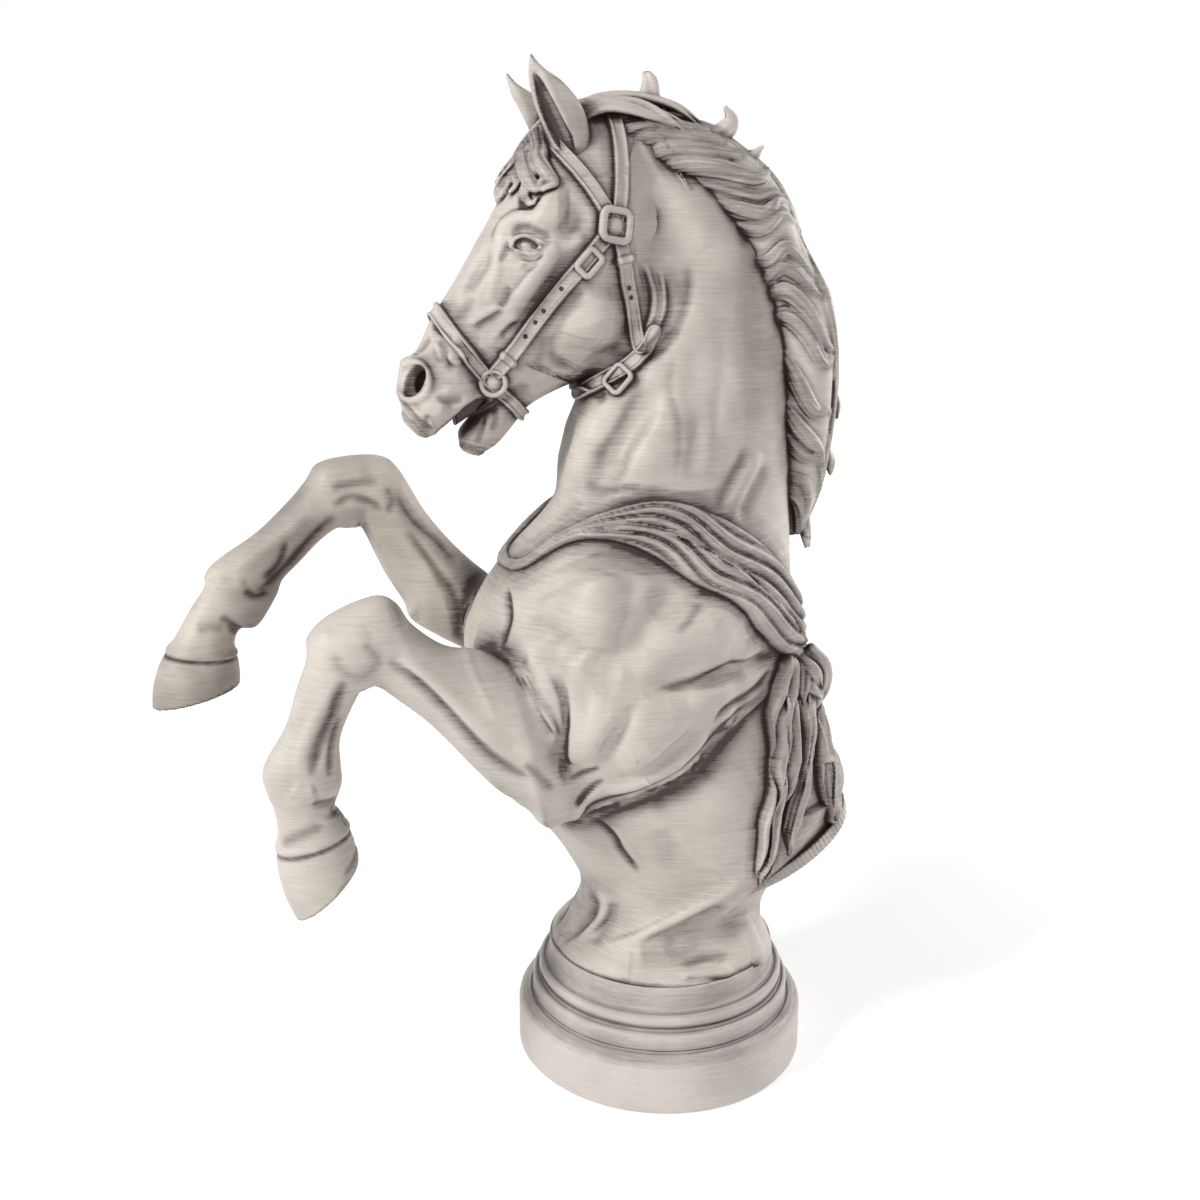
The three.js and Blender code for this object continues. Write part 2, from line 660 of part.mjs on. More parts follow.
// Head
const eyes = {};
for (const [name, side] of [['left', LEFT], ['right', RIGHT]]) {
  const spot = head.touch(...head.find(...drawnAt([-31.9, 150.4]), side));
  const middle = spot.point.clone().addScaledVector(spot.normal, -EYE_DEPTH);
  const eye = (gap) => ball(...middle, ...Array(3).fill(EYE_RADIUS + gap));
  eyes[name] = { solid: eye(0), socket: eye(FIT) };
}
let headSolid = headBody();
for (const side of [LEFT, RIGHT]) {
  const nostril = head.touch(...head.find(...drawnAt([-53.5, 125.6]), side));
  headSolid = headSolid.subtract(ball(...nostril.point, ...NOSTRIL_SIZE));
}
pieces.head = largest(headSolid.subtract(eyes.left.socket).subtract(eyes.right.socket)
  .subtract(headPin.socket));
pieces.left_eye = eyes.left.solid;
pieces.right_eye = eyes.right.solid;
pieces.lower_jaw = largest(jaw.body({ domes: domes(0, 1.5) }).subtract(headCutter).subtract(trunkCutter));

// Ears, cupped outwards
const earRows = [
  [-26.5, 163.5, -18, 164.5, 0.5, 0.34],
  [-27, 169.5, -18.8, 170.5, 0.56, 0.4],
  [-29.3, 175, -20.5, 175, 0.5, 0.46],
  [-30.4, 179, -24.5, 179, 0.34, 0.5],
  [-29.9, 182.6, -28.6, 182.4, 0.1, 0.52],
];
for (const [name, side] of [['left', LEFT], ['right', RIGHT]]) {
  const ear = (thin, out) => new Form(earRows.map(([ax, az, bx, bz, width, spread]) => {
    const trim = THREE.MathUtils.clamp(thin / (bx - ax) / unit, 0, 0.5);
    const [first, second] = [trim, 1 - trim].map((share) => THREE.MathUtils.lerp(ax, bx, share));
    const middle = side * (spread * EAR_SPACING + out);
    return [...drawnAt([first, az]), ...drawnAt([second, bz]), width * EAR_WIDTH / 2, 0, middle];
  }), 10, 0.9);
  const outer = ear(0, 0).body({ domes: domes(0, 0.3), steps: 1.5 });
  const scoop = ear(EAR_WALL, EAR_CUP).body({ from: 0.9, to: 3.7, domes: domes(1, 0.4), steps: 1.5 });
  pieces[`${name}_ear`] = largest(outer.subtract(scoop).subtract(headCutter).subtract(trunkCutter));
}

// Halter: [x, z] points of the side elevation, over the table of the base
const drawn = (points) => points.map(drawnAt);
const nosePoint = [-38.4, 124.8];
const cheekPoint = [-15, 153.6];
const jawLine = drawn([[-14.3, 151.5], [-13.2, 147], [-11.5, 139.9], [-9.6, 131]]);
const cheekLine = drawn([nosePoint, [-33, 131.6], [-27.2, 139], [-21.4, 146.4], cheekPoint]);
const bands = {
  noseband: overFront(head, drawn([
    [-47.5, 138], [-46.5, 135.8], [-44.4, 132], [-41.6, 128.5], nosePoint])),
  chin_strap: overBack(head, drawn([[-33, 119.5], [-35, 121.5], nosePoint])),
  brow_band: overFront(head, drawn([[-24.5, 172.2], [-23.5, 167], [-20.8, 160.5], cheekPoint])),
  crown_strap: overFront(head, drawn([[-14, 174.6], [-13.2, 168.9], [-13.7, 158.3], cheekPoint])),
  throat_collar: overFront(trunk, drawn([
    [-19.5, 121], [-17, 123.8], [-13.9, 125.9], [-9.9, 128.7], [-5.8, 135], [-4.2, 143]])),
};
const hardware = {};
const hardwareCutters = [];
for (const [name, side] of [['left', LEFT], ['right', RIGHT]]) {
  bands[`${name}_cheek_strap`] = touches(head, routeOn(head, cheekLine, side), 7);
  bands[`${name}_jaw_strap`] = touches(head, routeOn(head, jawLine, side), 5);
  const ring = (gap) => {
    const height = RING_THICKNESS + FIT + gap;
    const inside = NOSE_RING_RADIUS - NOSE_RING_BAR;
    return lathe([[0, -STRAP_ROOT], [NOSE_RING_RADIUS + gap, -STRAP_ROOT], [NOSE_RING_RADIUS + gap, height],
      [inside, height], [inside - NOSE_RING_BEVEL, height / 2], [0, height * 0.7]], 16);
  };
  hardware[`${name}_nose_ring`] = standOn(head, ...drawnAt(nosePoint), side, ring(0));
  hardwareCutters.push(standOn(head, ...drawnAt(nosePoint), side, ring(FIT)));
  const frame = (gap) => squareFrame(CHEEK_RING_SIZE / 2 + gap, RING_THICKNESS + FIT + gap);
  hardware[`${name}_cheek_ring`] = standOn(head, ...drawnAt(cheekPoint), side, frame(0))
    .subtract(standOn(head, ...drawnAt(cheekPoint), side, framePocket()));
  hardwareCutters.push(standOn(head, ...drawnAt(cheekPoint), side, frame(FIT)));
}

function squareFrame(half, height) {
  const shape = new THREE.Shape();
  const corner = half * CHEEK_RING_ROUNDING;
  shape.absarc(half - corner, half - corner, corner, 0, Math.PI / 2);
  shape.absarc(corner - half, half - corner, corner, Math.PI / 2, Math.PI);
  shape.absarc(corner - half, corner - half, corner, Math.PI, 1.5 * Math.PI);
  shape.absarc(half - corner, corner - half, corner, 1.5 * Math.PI, 2 * Math.PI);
  const options = { depth: height + STRAP_ROOT, bevelEnabled: false, curveSegments: 3 };
  return new THREE.ExtrudeGeometry(shape, options).translate(0, 0, -STRAP_ROOT);
}

function framePocket() {
  const pocket = squareFrame(CHEEK_RING_SIZE / 2 - CHEEK_RING_BAR, RING_THICKNESS);
  return pocket.translate(0, 0, STRAP_ROOT + RING_THICKNESS * 0.5);
}

const surfaceCutter = headCutter.add(trunkCutter);
const jawCutter = jaw.body({ domes: domes(0, 1.5), lift: FIT });
for (const [name, solid] of Object.entries(hardware)) {
  pieces[name] = largest(solid.subtract(surfaceCutter));
}
// Each strap gives way to the ones before it
const strapOrder = [
  'left_cheek_strap', 'right_cheek_strap', 'noseband', 'chin_strap', 'crown_strap',
  'brow_band', 'left_jaw_strap', 'right_jaw_strap', 'throat_collar',
];
let taken = hardwareCutters.reduce((sum, cutter) => sum.add(cutter), jawCutter);
for (const name of strapOrder) {
  pieces[name] = largest(strap(bands[name]).subtract(surfaceCutter).subtract(taken));
  taken = taken.add(strap(bands[name], FIT));
}
// Keepers and the collar's buckle are arches over their strap
function archOver(form, from, to, side, length) {
  const middle = from.map((value, i) => (value + to[i]) / 2);
  const share = length / (2 * Math.hypot(to[0] - from[0], to[1] - from[1]));
  const ends = [-share, share].map((part) => middle.map((value, i) => value + (to[i] - from[i]) * part));
  const top = STRAP_THICKNESS + 2 * FIT + KEEPER_CROWN;
  const edge = top * 0.8;
  const profile = [[-0.5, -STRAP_ROOT], [-0.5, edge], [-0.3, top],
    [0.3, top], [0.5, edge], [0.5, -STRAP_ROOT]];
  const spots = touches(form, routeOn(form, ends, side), 2);
  return band(spots, STRAP_WIDTH + 2 * (FIT + KEEPER_WALL), profile);
}
for (const [name, side] of [['left', LEFT], ['right', RIGHT]]) {
  const keeper = archOver(head, jawLine[1], jawLine[2], side, KEEPER_LENGTH);
  pieces[`${name}_keeper`] = largest(keeper.subtract(headCutter).subtract(taken));
}
const buckle = archOver(trunk, drawnAt([-16.4, 124.1]), drawnAt([-12.4, 127]), LEFT, BUCKLE_LENGTH);
pieces.collar_buckle = largest(buckle.subtract(surfaceCutter).subtract(taken));
for (const name of ['left_ear', 'right_ear']) {
  pieces[name] = largest(pieces[name].subtract(taken));
}

// Mane on the crest of the neck
function lockOn(form, spots, side, radii) {
  const points = spots.map(([x, z, out = 0]) => {
    const [u, angle] = form.find(...drawnAt([x, z]), side);
    const { point, normal } = form.touch(u, angle);
    return point.addScaledVector(normal, out * unit);
  });
  return lock(points, radii, 5, 4);
}

let maneSolid = mane.body({ domes: domes(2, 2), steps: 3 });
const curls = [
  [[-10, 171.5], [-6.8, 174], [-4.8, 176.8], [-5.6, 180]],
  [[4.5, 168.5], [8.6, 171], [10.8, 173.4], [9.6, 176]],
  [[12, 164.5], [15.3, 166.8], [17.2, 169]],
  [[28, 96.5], [30, 92.5], [30.8, 88.5]],
];
for (const curl of curls) {
  const points = curl.map(([x, z]) => high(x, z, LEFT * CURL_LEAN));
  maneSolid = maneSolid.add(lock(points, [2.2, 1.8, 1.2, 0.5].slice(-points.length), 5, 4));
}
maneSolid = maneSolid.subtract(surfaceCutter).subtract(taken);
const partings = [4, 8].map((u) => {
  const middle = mane.at(u, 0).add(mane.at(u, Math.PI)).multiplyScalar(0.5);
  const along = mane.endDirection(u, u - 1);
  return { normal: along.toArray(), offset: along.dot(middle) };
});
const before = (solid, { normal, offset }) => solid.trimByPlane(normal.map((n) => -n), FIT / 2 - offset);
const after = (solid, { normal, offset }) => solid.trimByPlane(normal, offset + FIT / 2);
pieces.upper_mane = largest(before(maneSolid, partings[0]));
pieces.middle_mane = largest(before(after(maneSolid, partings[0]), partings[1]));
pieces.lower_mane = largest(after(maneSolid, partings[1]));

// Forelock between the ears
const strands = [
  [[-22, 172], [-27, 169, 1], [-32, 165, 0.6], [-34.5, 160.5, 0.6]],
  [[-22, 171], [-26, 167.5, 1.4], [-29.5, 163.5, 1], [-31, 159, 0.4]],
  [[-22, 170], [-24.5, 166, 1.2], [-25, 162, 0.8], [-26.5, 158.8, 0.3]],
];
const forelockLine = [high(-20, 171), high(-26, 171), high(-31, 166.5), high(-35, 160.5)];
let forelock = lock(forelockLine, [2, 2.6, 2.2, 0.6], 6, 5);
for (const side of [LEFT, RIGHT]) {
  for (const strand of strands) {
    forelock = forelock.add(lockOn(head, strand, side, [1.6, 1.9, 1.7, 0.5]));
  }
}
const earCutter = ['left_ear', 'right_ear'].reduce((sum, name) => sum.add(pieces[name]), taken);
pieces.forelock = largest(forelock.subtract(surfaceCutter).subtract(earCutter));

// Cloth collar round the base of the neck
function clothSpots(side) {
  const spots = collarLine.map((p) => trunk.find(p.x, p.y, RIGHT));
  spots[0][1] = -CLOTH_LAP;
  spots.at(-1)[1] = Math.PI + CLOTH_LAP;
  const route = spots.map(([u, angle]) => new THREE.Vector3(u, side * angle, 0));
  return touches(trunk, new THREE.CatmullRomCurve3(route), CLOTH_STEPS);
}
function cloth(gap) {
  const profile = [[-0.5, -STRAP_ROOT]];
  for (let i = 0; i <= 2 * CLOTH_FOLDS; i++) {
    const share = i / (2 * CLOTH_FOLDS);
    const height = CLOTH_THICKNESS * (i % 2 ? 1 : 0.78) * Math.sin(Math.PI * (0.16 + 0.68 * share)) ** 0.4;
    profile.push([share - 0.5, height + FIT + gap]);
  }
  profile.push([0.5, -STRAP_ROOT]);
  const width = (t) => (CLOTH_WIDTH + 2 * gap) * (0.62 + 0.38 * Math.sin(Math.PI * t));
  return band(clothSpots(LEFT), width, profile).add(band(clothSpots(RIGHT), width, profile));
}
pieces.cloth_collar = largest(cloth(0).subtract(trunkCutter));
const clothCutter = cloth(FIT);
pieces.lower_mane = largest(pieces.lower_mane.subtract(clothCutter));

// Knot and tails of the cloth
const knotSize = [0.8, 0.9, 1].map((share) => share * KNOT_RADIUS);
const loopSize = [0.55, 0.6, 1].map((share) => share * KNOT_RADIUS);
const knot = (gap) => ball(...high(28.5, 63.5, -9), ...knotSize.map((size) => size + gap))
  .add(ball(...high(30.5, 58, -8), ...loopSize.map((size) => size + gap), 0.3));
pieces.cloth_knot = largest(knot(0).subtract(trunkCutter).subtract(clothCutter));
const tails = [
  [[27, 63], [22, 57], [20, 48], [20, 37], [18, 28], [16.5, 21]],
  [[29, 61], [28, 54], [29, 46], [28.5, 38], [25, 30], [24, 24]],
  [[31, 59], [34, 51], [35.2, 43], [37, 36], [37.5, 31]],
];
let tailCutter = clothCutter.add(knot(FIT)).add(hemCutter());
tails.forEach((points, i) => {
  const spots = touches(trunk, routeOn(trunk, drawn(points), LEFT), 8);
  const height = (gap) => TAIL_THICKNESS + FIT + gap;
  const profile = (gap) => [[-0.5, -STRAP_ROOT * 2], [-0.5, height(gap) * 0.6], [-0.1, height(gap)],
    [0.5, height(gap) * 0.7], [0.5, -STRAP_ROOT * 2]];
  pieces[`cloth_tail_${i + 1}`] = largest(band(spots, TAIL_WIDTH, profile(0)).subtract(trunkCutter)
    .subtract(tailCutter));
  tailCutter = tailCutter.add(band(spots, TAIL_WIDTH + 2 * FIT, profile(FIT)));
});

function hemCutter() {
  const slab = trunkBody(HEM_THICKNESS + FIT);
  return below(above(slab, cutOffset - 2 * FIT), cutOffset + HEM_HEIGHT + FIT);
}

// Export
const colour = new THREE.Color(0.62, 0.58, 0.54);
const bust = new THREE.Group();
for (const [name, manifold] of Object.entries(pieces)) {
  const material = new THREE.MeshStandardMaterial({ color: colour, roughness: 0.6, metalness: 0 });
  const mesh = new THREE.Mesh(toGeometry(manifold), material);
  mesh.name = name;
  bust.add(mesh);
}

export default bust;
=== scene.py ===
# Dresses the horse bust: carved skin, hair, halter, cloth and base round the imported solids.
# Shapes are carved as fields on grids, in millimetres over the top of the base, then turned into meshes.
import math
from itertools import product
import bpy
import numpy as np
from mathutils import Matrix, Vector


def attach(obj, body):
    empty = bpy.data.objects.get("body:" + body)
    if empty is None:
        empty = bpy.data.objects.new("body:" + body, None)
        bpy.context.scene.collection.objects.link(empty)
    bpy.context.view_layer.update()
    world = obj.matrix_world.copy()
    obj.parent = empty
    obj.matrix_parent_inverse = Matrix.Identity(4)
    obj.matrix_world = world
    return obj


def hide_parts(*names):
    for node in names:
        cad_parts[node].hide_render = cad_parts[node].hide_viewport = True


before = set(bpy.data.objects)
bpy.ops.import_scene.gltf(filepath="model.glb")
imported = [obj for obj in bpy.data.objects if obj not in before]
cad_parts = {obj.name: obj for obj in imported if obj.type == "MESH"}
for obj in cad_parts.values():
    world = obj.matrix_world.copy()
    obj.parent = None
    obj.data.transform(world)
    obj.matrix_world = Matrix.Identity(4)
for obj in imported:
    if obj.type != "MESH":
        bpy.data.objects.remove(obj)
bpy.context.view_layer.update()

MM = 0.001
STAND = 25.0  # height of the base, under the zero of these shapes
FAR = 9.0  # the greatest distance that a field holds
COARSE = 1.0
rng = np.random.default_rng(7)

# Camera of the photograph, in the part's frame
CAMERA = np.array([-78.5, -256.5, 171.3 - STAND])
FOCAL, IMAGE = 1300.0, 1200
PITCH, ROLL, YAW = math.radians(14.43), math.radians(0.39), math.radians(14.0)


def sight(px, py):
    """Direction from the camera through a pixel of the 1200 x 1200 picture."""
    u, v = px - IMAGE / 2, py - IMAGE / 2
    u, v = u * math.cos(ROLL) + v * math.sin(ROLL), v * math.cos(ROLL) - u * math.sin(ROLL)
    across, up = u / FOCAL, -v / FOCAL
    ahead = math.cos(PITCH) + math.sin(PITCH) * up
    rise = math.cos(PITCH) * up - math.sin(PITCH)
    return np.array([across * math.cos(YAW) + ahead * math.sin(YAW),
                     ahead * math.cos(YAW) - across * math.sin(YAW), rise])


def pairs(text):
    """Points from a table of numbers x,y."""
    return [tuple(map(float, word.split(","))) for word in text.split() if "," in word]


def rows(text):
    """Lists of numbers from a table whose rows are parted by semicolons."""
    return [[float(word) for word in row.split()] for row in text.split(";")]


def lines(text):
    """Drawn lines from a table: points, measures, and whether the far side has the line too."""
    return [(pairs(row), [float(word) for word in row.replace("near", "").split() if "," not in word],
             "near" not in row) for row in text.split(";")]


def spline(points, per_span):
    """Smooth curve through rows of numbers."""
    points = np.asarray(points, float)
    ends = np.vstack([2 * points[0] - points[1], points, 2 * points[-1] - points[-2]])
    t = np.linspace(0, 1, per_span, endpoint=False)[:, None]
    out = []
    for p0, p1, p2, p3 in zip(ends, ends[1:], ends[2:], ends[3:]):
        a, b = (p2 - p0) / 2, (p3 - p1) / 2
        out.append((2 * t**3 - 3 * t**2 + 1) * p1 + (t**3 - 2 * t**2 + t) * a
                   + (3 * t**2 - 2 * t**3) * p2 + (t**3 - t**2) * b)
    return np.vstack(out + [points[-1:]])


def travelled(line):
    """Length along a line, up to each of its points."""
    return np.concatenate([[0], np.cumsum(np.linalg.norm(np.diff(line, axis=0), axis=1))])


def evenly(points, count):
    """The smooth line through points, in steps of one length."""
    line = spline(points, 6)
    gone = travelled(line)
    at = np.linspace(0, gone[-1], count)
    return np.column_stack([np.interp(at, gone, column) for column in line.T])


def unit(vectors):
    """Vectors at length 1."""
    return vectors / (np.linalg.norm(vectors, axis=-1, keepdims=True) + 1e-9)


def mirrored(points, both=True):
    """The points and, where both sides are meant, their mirror image."""
    return [np.asarray(points, float) * (1, side, 1) for side in ((1, -1) if both else (1,))]


def fade(place, taper):
    """1 along a line, and down to 0 over a share of it at each end."""
    return np.clip(np.minimum(place, 1 - place) / taper, 0, 1) if taper else 1.0


def bell(distance, width):
    """1 at no distance, and down to almost 0 at twice the width."""
    return np.exp(-(distance / width) ** 2)


def in_frame(grid, centre, directions):
    """Coordinates of a grid from a centre, along directions."""
    local = [g - c for g, c in zip(grid, centre)]
    return [sum(g * share for g, share in zip(local, direction)) for direction in directions]


def blend(a, b, k):
    """Union of two fields with a fillet of size k."""
    if np.ndim(k) == 0 and k <= 0:
        return np.minimum(a, b)
    h = np.clip(0.5 + 0.5 * (b - a) / k, 0, 1)
    return b * (1 - h) + a * h - k * h * (1 - h)


def both_in(a, b, k=0.0):
    """Intersection of two fields with a rounded edge of size k."""
    return -blend(-a, -b, k) if k else np.maximum(a, b)


class Form:
    """A body drawn as a side elevation, by rows like the solids': two edges, half width and skew.

    Its first row sinks by a depth into the body that carries it.
    """

    PER_ROW, ROOM = 8, 7
    CAP_SHARES = (0.25, 0.5, 0.7, 0.85, 0.95, 0.99)
    SINK_ROWS = 1.3

    def __init__(self, table, width, y=0.0, fullness=1.0, caps=(1.0, 1.0), bumps=(), slim=0.0, sunk=0.0):
        table = np.array([(row + [0.0])[:6] for row in table])
        table[:, 4] = table[:, 4] * width / 2 - slim
        line = spline(table, self.PER_ROW)
        line = np.column_stack([line, np.arange(len(line)) / self.PER_ROW])
        line = np.vstack([self.cap(line[0], line[4], caps[0])[::-1], line,
                          self.cap(line[-1], line[-5], caps[1])])
        self.line, self.y, self.fullness, self.bumps, self.sunk = line, y, fullness, bumps, sunk
        self.low = np.minimum(line[:, :2], line[:, 2:4]).min(0) - self.ROOM
        self.high = np.maximum(line[:, :2], line[:, 2:4]).max(0) + self.ROOM
        self.reach = line[:, 4].max() + self.ROOM + (np.abs(y[:, 1]).max() if np.ndim(y) else 0)

    def cap(self, row, inner, depth):
        """Rows that round off an end."""
        middle, axis = (row[:2] + row[2:4]) / 2, row[2:4] - row[:2]
        out = np.array([-axis[1], axis[0]]) / np.hypot(*axis)
        if out @ (middle - (inner[:2] + inner[2:4]) / 2) < 0:
            out = -out
        made = []
        for share in self.CAP_SHARES:
            size = math.sqrt(1 - share**2)
            new = row.copy()
            for edge in (slice(0, 2), slice(2, 4)):
                new[edge] = middle + (row[edge] - middle) * size + out * depth * share
            new[4] = row[4] * size
            made.append(new)
        return np.array(made)

    def maps(self, gx, gz):
        """Place across the section, half depth, half width, skew and row, at each point of the elevation."""
        best = np.full(gx.shape, 1e9)
        out = np.zeros((5,) + gx.shape)
        before = None
        for row in self.line:
            length = math.hypot(row[2] - row[0], row[3] - row[1])
            ex, ez = (row[2] - row[0]) / length, (row[3] - row[1]) / length
            cross = ex * (gz - row[1]) - ez * (gx - row[0])
            share = (ex * (gx - row[0]) + ez * (gz - row[1])) / length
            if before is not None:
                cross0, share0, row0, length0 = before
                near = np.nonzero((cross0 * cross <= 0) & (cross0 != cross))
                t = cross0[near] / (cross0[near] - cross[near])
                s = share0[near] + t * (share[near] - share0[near])
                miss = np.maximum(np.maximum(s - 1, -s), 0) * length
                good = miss < best[near]
                near = tuple(i[good] for i in near)
                t, s = t[good], s[good]
                best[near] = miss[good]
                out[0][near] = 2 * s - 1
                out[1][near] = (length0 + t * (length - length0)) / 2
                for i in (2, 3, 4):
                    out[i][near] = row0[i + 2] + t * (row[i + 2] - row0[i + 2])
            before = cross, share, row, length
        return out, best < 1e8

    def field(self, x, y, z):
        """Distance to the body, and the row, at each point of a grid."""
        gx, gz = np.meshgrid(x, z, indexing="ij")
        (s, deep, wide, skew, row), covered = self.maps(gx, gz)
        middle = np.interp(z, *self.y.T) if np.ndim(self.y) else np.full(len(z), self.y)
        near = np.repeat(np.abs(y[:, None] - middle).astype(np.float32)[None], len(x), 0)
        for bx, bz, radius, height in self.bumps:
            height = height * np.sqrt(np.clip(1 - s**2, 0, 1))
            swell = height * np.exp(-((gx - bx) ** 2 + (gz - bz) ** 2) / radius**2)
            near -= swell[:, None, :].astype(np.float32)
        wide = np.maximum(wide * (1 - skew * np.clip(s, -1, 1)), 0.05)
        s, deep, wide = (a[:, None, :].astype(np.float32) for a in (s, deep, wide))
        power = 2 / self.fullness
        q = np.maximum(near, 0) / wide
        size = np.sqrt(s**2 + q**power) + 1e-6
        slope = np.sqrt((s / size / deep) ** 2 + (power / 2 * q ** (power - 1) / size / wide) ** 2)
        f = np.clip((size - 1) / np.maximum(slope, 1e-3), -FAR, FAR)
        f = np.where(covered[:, None, :], f, FAR).astype(np.float32)
        steps = [float(a[1] - a[0]) for a in (x, y, z)]
        steep = np.sqrt(sum(g**2 for g in np.gradient(f, *steps)))
        sink = self.sunk * np.clip(1 - row[:, None, :] / self.SINK_ROWS, 0, 1) ** 1.5
        return np.minimum(f / np.maximum(steep, 1) + sink, FAR), row


class Clay:
    """A field on a grid: below 0 inside the body, above 0 outside."""

    GROOVE_REACH, LEDGE_REACH, STAIN_REACH, TUBE_REACH = 2.6, 2.4, 2.0, 1.6  # in widths of the line
    STAIN_WIDTH, LEDGE_STAIN = (0.3, 0.35), (0.8, 0.35, 0.8)
    SIGHT_STEPS, FLANK_STEPS, SETTLE_STEPS = 340, 240, 4

    def __init__(self, low, high, step):
        self.step = step * COARSE
        self.low = np.array(low, float)
        count = np.ceil((np.array(high) - self.low) / self.step).astype(int) + 1
        self.axes = [self.low[i] + self.step * np.arange(count[i]) for i in range(3)]
        self.x, self.y, self.z = np.meshgrid(*self.axes, indexing="ij", sparse=True)
        self.f = np.full(count, FAR, np.float32)
        self.stain = np.zeros(count, np.float32)
        self.creases, self.raw = [], {}

    def block(self, low, high):
        """Slices and coordinates of the grid within a box, or None where it lies outside."""
        first = np.maximum(np.ceil((low - self.low) / self.step), 0).astype(int)
        last = np.minimum(np.floor((high - self.low) / self.step) + 1, self.f.shape).astype(int)
        if (first >= last).any():
            return None
        cut = tuple(map(slice, first, last))
        return cut, *np.meshgrid(*(a[c].astype(np.float32) for a, c in zip(self.axes, cut)),
                                 indexing="ij", sparse=True)

    def form(self, name, form, k=0.0):
        """Joins a body to the clay, and keeps its own field and rows under its name."""
        middle = 0 if np.ndim(form.y) else form.y
        cut, x, y, z = self.block((form.low[0], middle - form.reach, form.low[1]),
                                  (form.high[0], middle + form.reach, form.high[1]))
        whole = np.full(self.f.shape, FAR, np.float32)
        row = np.zeros((self.f.shape[0], self.f.shape[2]), np.float32)
        whole[cut], row[cut[0], cut[2]] = form.field(x.ravel(), y.ravel(), z.ravel())
        self.raw[name], self.raw[name + " row"] = whole, row
        self.f = blend(self.f, whole, k)

    def merge(self, at, d, k, cut=False):
        """Adds a field within a box, or cuts it away, with a fillet."""
        self.f[at] = -blend(-self.f[at], d, k) if cut else blend(self.f[at], d, k)

    def ball(self, centre, radii, k=1.0, along=(1, 0, 0), cut=False, both=False):
        """Ellipsoid whose first radius lies along a direction."""
        for c, a in zip(mirrored(centre, both), mirrored(along, both)):
            a /= np.linalg.norm(a)
            b = np.cross(a, (0, 1, 0))
            b /= np.linalg.norm(b)
            reach = max(radii) + k + 2 * self.step + (0 if cut else 1)
            at, *grid = self.block(c - reach, c + reach)
            parts = [g / r for g, r in zip(in_frame(grid, c, (a, np.cross(b, a), b)), radii)]
            k0 = np.sqrt(sum(p**2 for p in parts)) + 1e-6
            k1 = np.sqrt(sum((p / r) ** 2 for p, r in zip(parts, radii))) + 1e-6
            self.merge(at, k0 * (k0 - 1) / k1, k, cut)

    def near_line(self, points, sizes, margin):
        """Round a line: box, distance over the local size, place along it and side of it in elevation."""
        sizes = np.broadcast_to(np.asarray(sizes, float), (len(points),))
        reach = sizes.max() * margin + 2 * self.step
        found = self.block(points.min(0) - reach, points.max(0) + reach)
        if not found:
            return None
        cut = found[0]
        shape = self.f[cut].shape
        ratio, place, hand = (np.full(shape, start, np.float32) for start in (1e3, 0, 1))
        gone = travelled(points)
        gone /= max(gone[-1], 1e-6)
        for a, b, ra, rb, ga, gb in zip(points, points[1:], sizes, sizes[1:], gone, gone[1:]):
            r = max(ra, rb) * margin + 2 * self.step
            small = self.block(np.minimum(a, b) - r, np.maximum(a, b) + r)
            if not small:
                continue
            inner = tuple(slice(s.start - c.start, s.stop - c.start) for s, c in zip(small[0], cut))
            d = b - a
            aside = (d[2], 0, -d[0])
            along, side = in_frame(small[1:], a, (d, aside))
            t = np.clip(along / max(d @ d, 1e-9), 0, 1)
            away = np.sqrt(sum((g - c - t * step) ** 2 for g, c, step in zip(small[1:], a, d)))
            away = away / np.maximum(ra + (rb - ra) * t, 1e-3)
            closer = away < ratio[inner]
            values = away, ga + (gb - ga) * t, np.where(side < 0, -1, 1)
            for grid, value in zip((ratio, place, hand), values):
                grid[inner] = np.where(closer, value, grid[inner])
        return cut, ratio, place, hand

    def near(self, points, sizes, margin, both=False):
        """Yields the line and what lies round it, and the same of its mirror image."""
        for line in mirrored(points, both):
            found = self.near_line(line, sizes, margin)
            if found:
                yield line, *found

    def tube(self, points, radii, k=0.5, both=False, cut=False):
        """Round bar along a line."""
        radii = np.broadcast_to(np.asarray(radii, float), (len(points),))
        for line, at, ratio, place, _ in self.near(points, radii, self.TUBE_REACH + k / radii.max(), both):
            gone = travelled(line)
            size = np.interp(place, gone / max(gone[-1], 1e-6), radii)
            self.merge(at, np.minimum((ratio - 1) * size, FAR).astype(np.float32), k, cut)

    def stroke(self, points, depth, width, both=False, taper=0.18, stain=0.0):
        """Presses a groove along a line, or raises a ridge where the depth is below 0; wash gathers in it."""
        for line, at, ratio, place, _ in self.near(points, width, self.GROOVE_REACH, both):
            self.f[at] += (depth * fade(place, taper) * np.exp(-ratio**2)).astype(np.float32)
            if stain:
                least, share = self.STAIN_WIDTH
                self.creases.append((line, stain, least + share * width, taper))

    def ledge(self, points, depth, narrow, wide, taper=0.15):
        """Groove on both sides of the body, steep on one hand, that runs out gently on the other."""
        most, share, width = self.LEDGE_STAIN
        for line, at, ratio, place, hand in self.near(points, wide, self.LEDGE_REACH, both=True):
            ratio = np.where(hand < 0, ratio, ratio * wide / narrow)
            self.f[at] += (depth * fade(place, taper) * np.exp(-ratio**2)).astype(np.float32)
            self.creases.append((line, min(most, share * depth), width, taper))

    def soak(self):
        """Lets wash gather along the creases, where they lie on the finished surface; those below the
        shoulder's arc hold painted shade as well.
        """
        for points, stain, width, taper in self.creases:
            for _, at, ratio, place, _ in self.near(self.settle(points, 0.0), width, self.STAIN_REACH):
                self.stain[at] = np.maximum(self.stain[at], stain * fade(place, taper) * np.exp(-ratio**2))
        self.creases = []

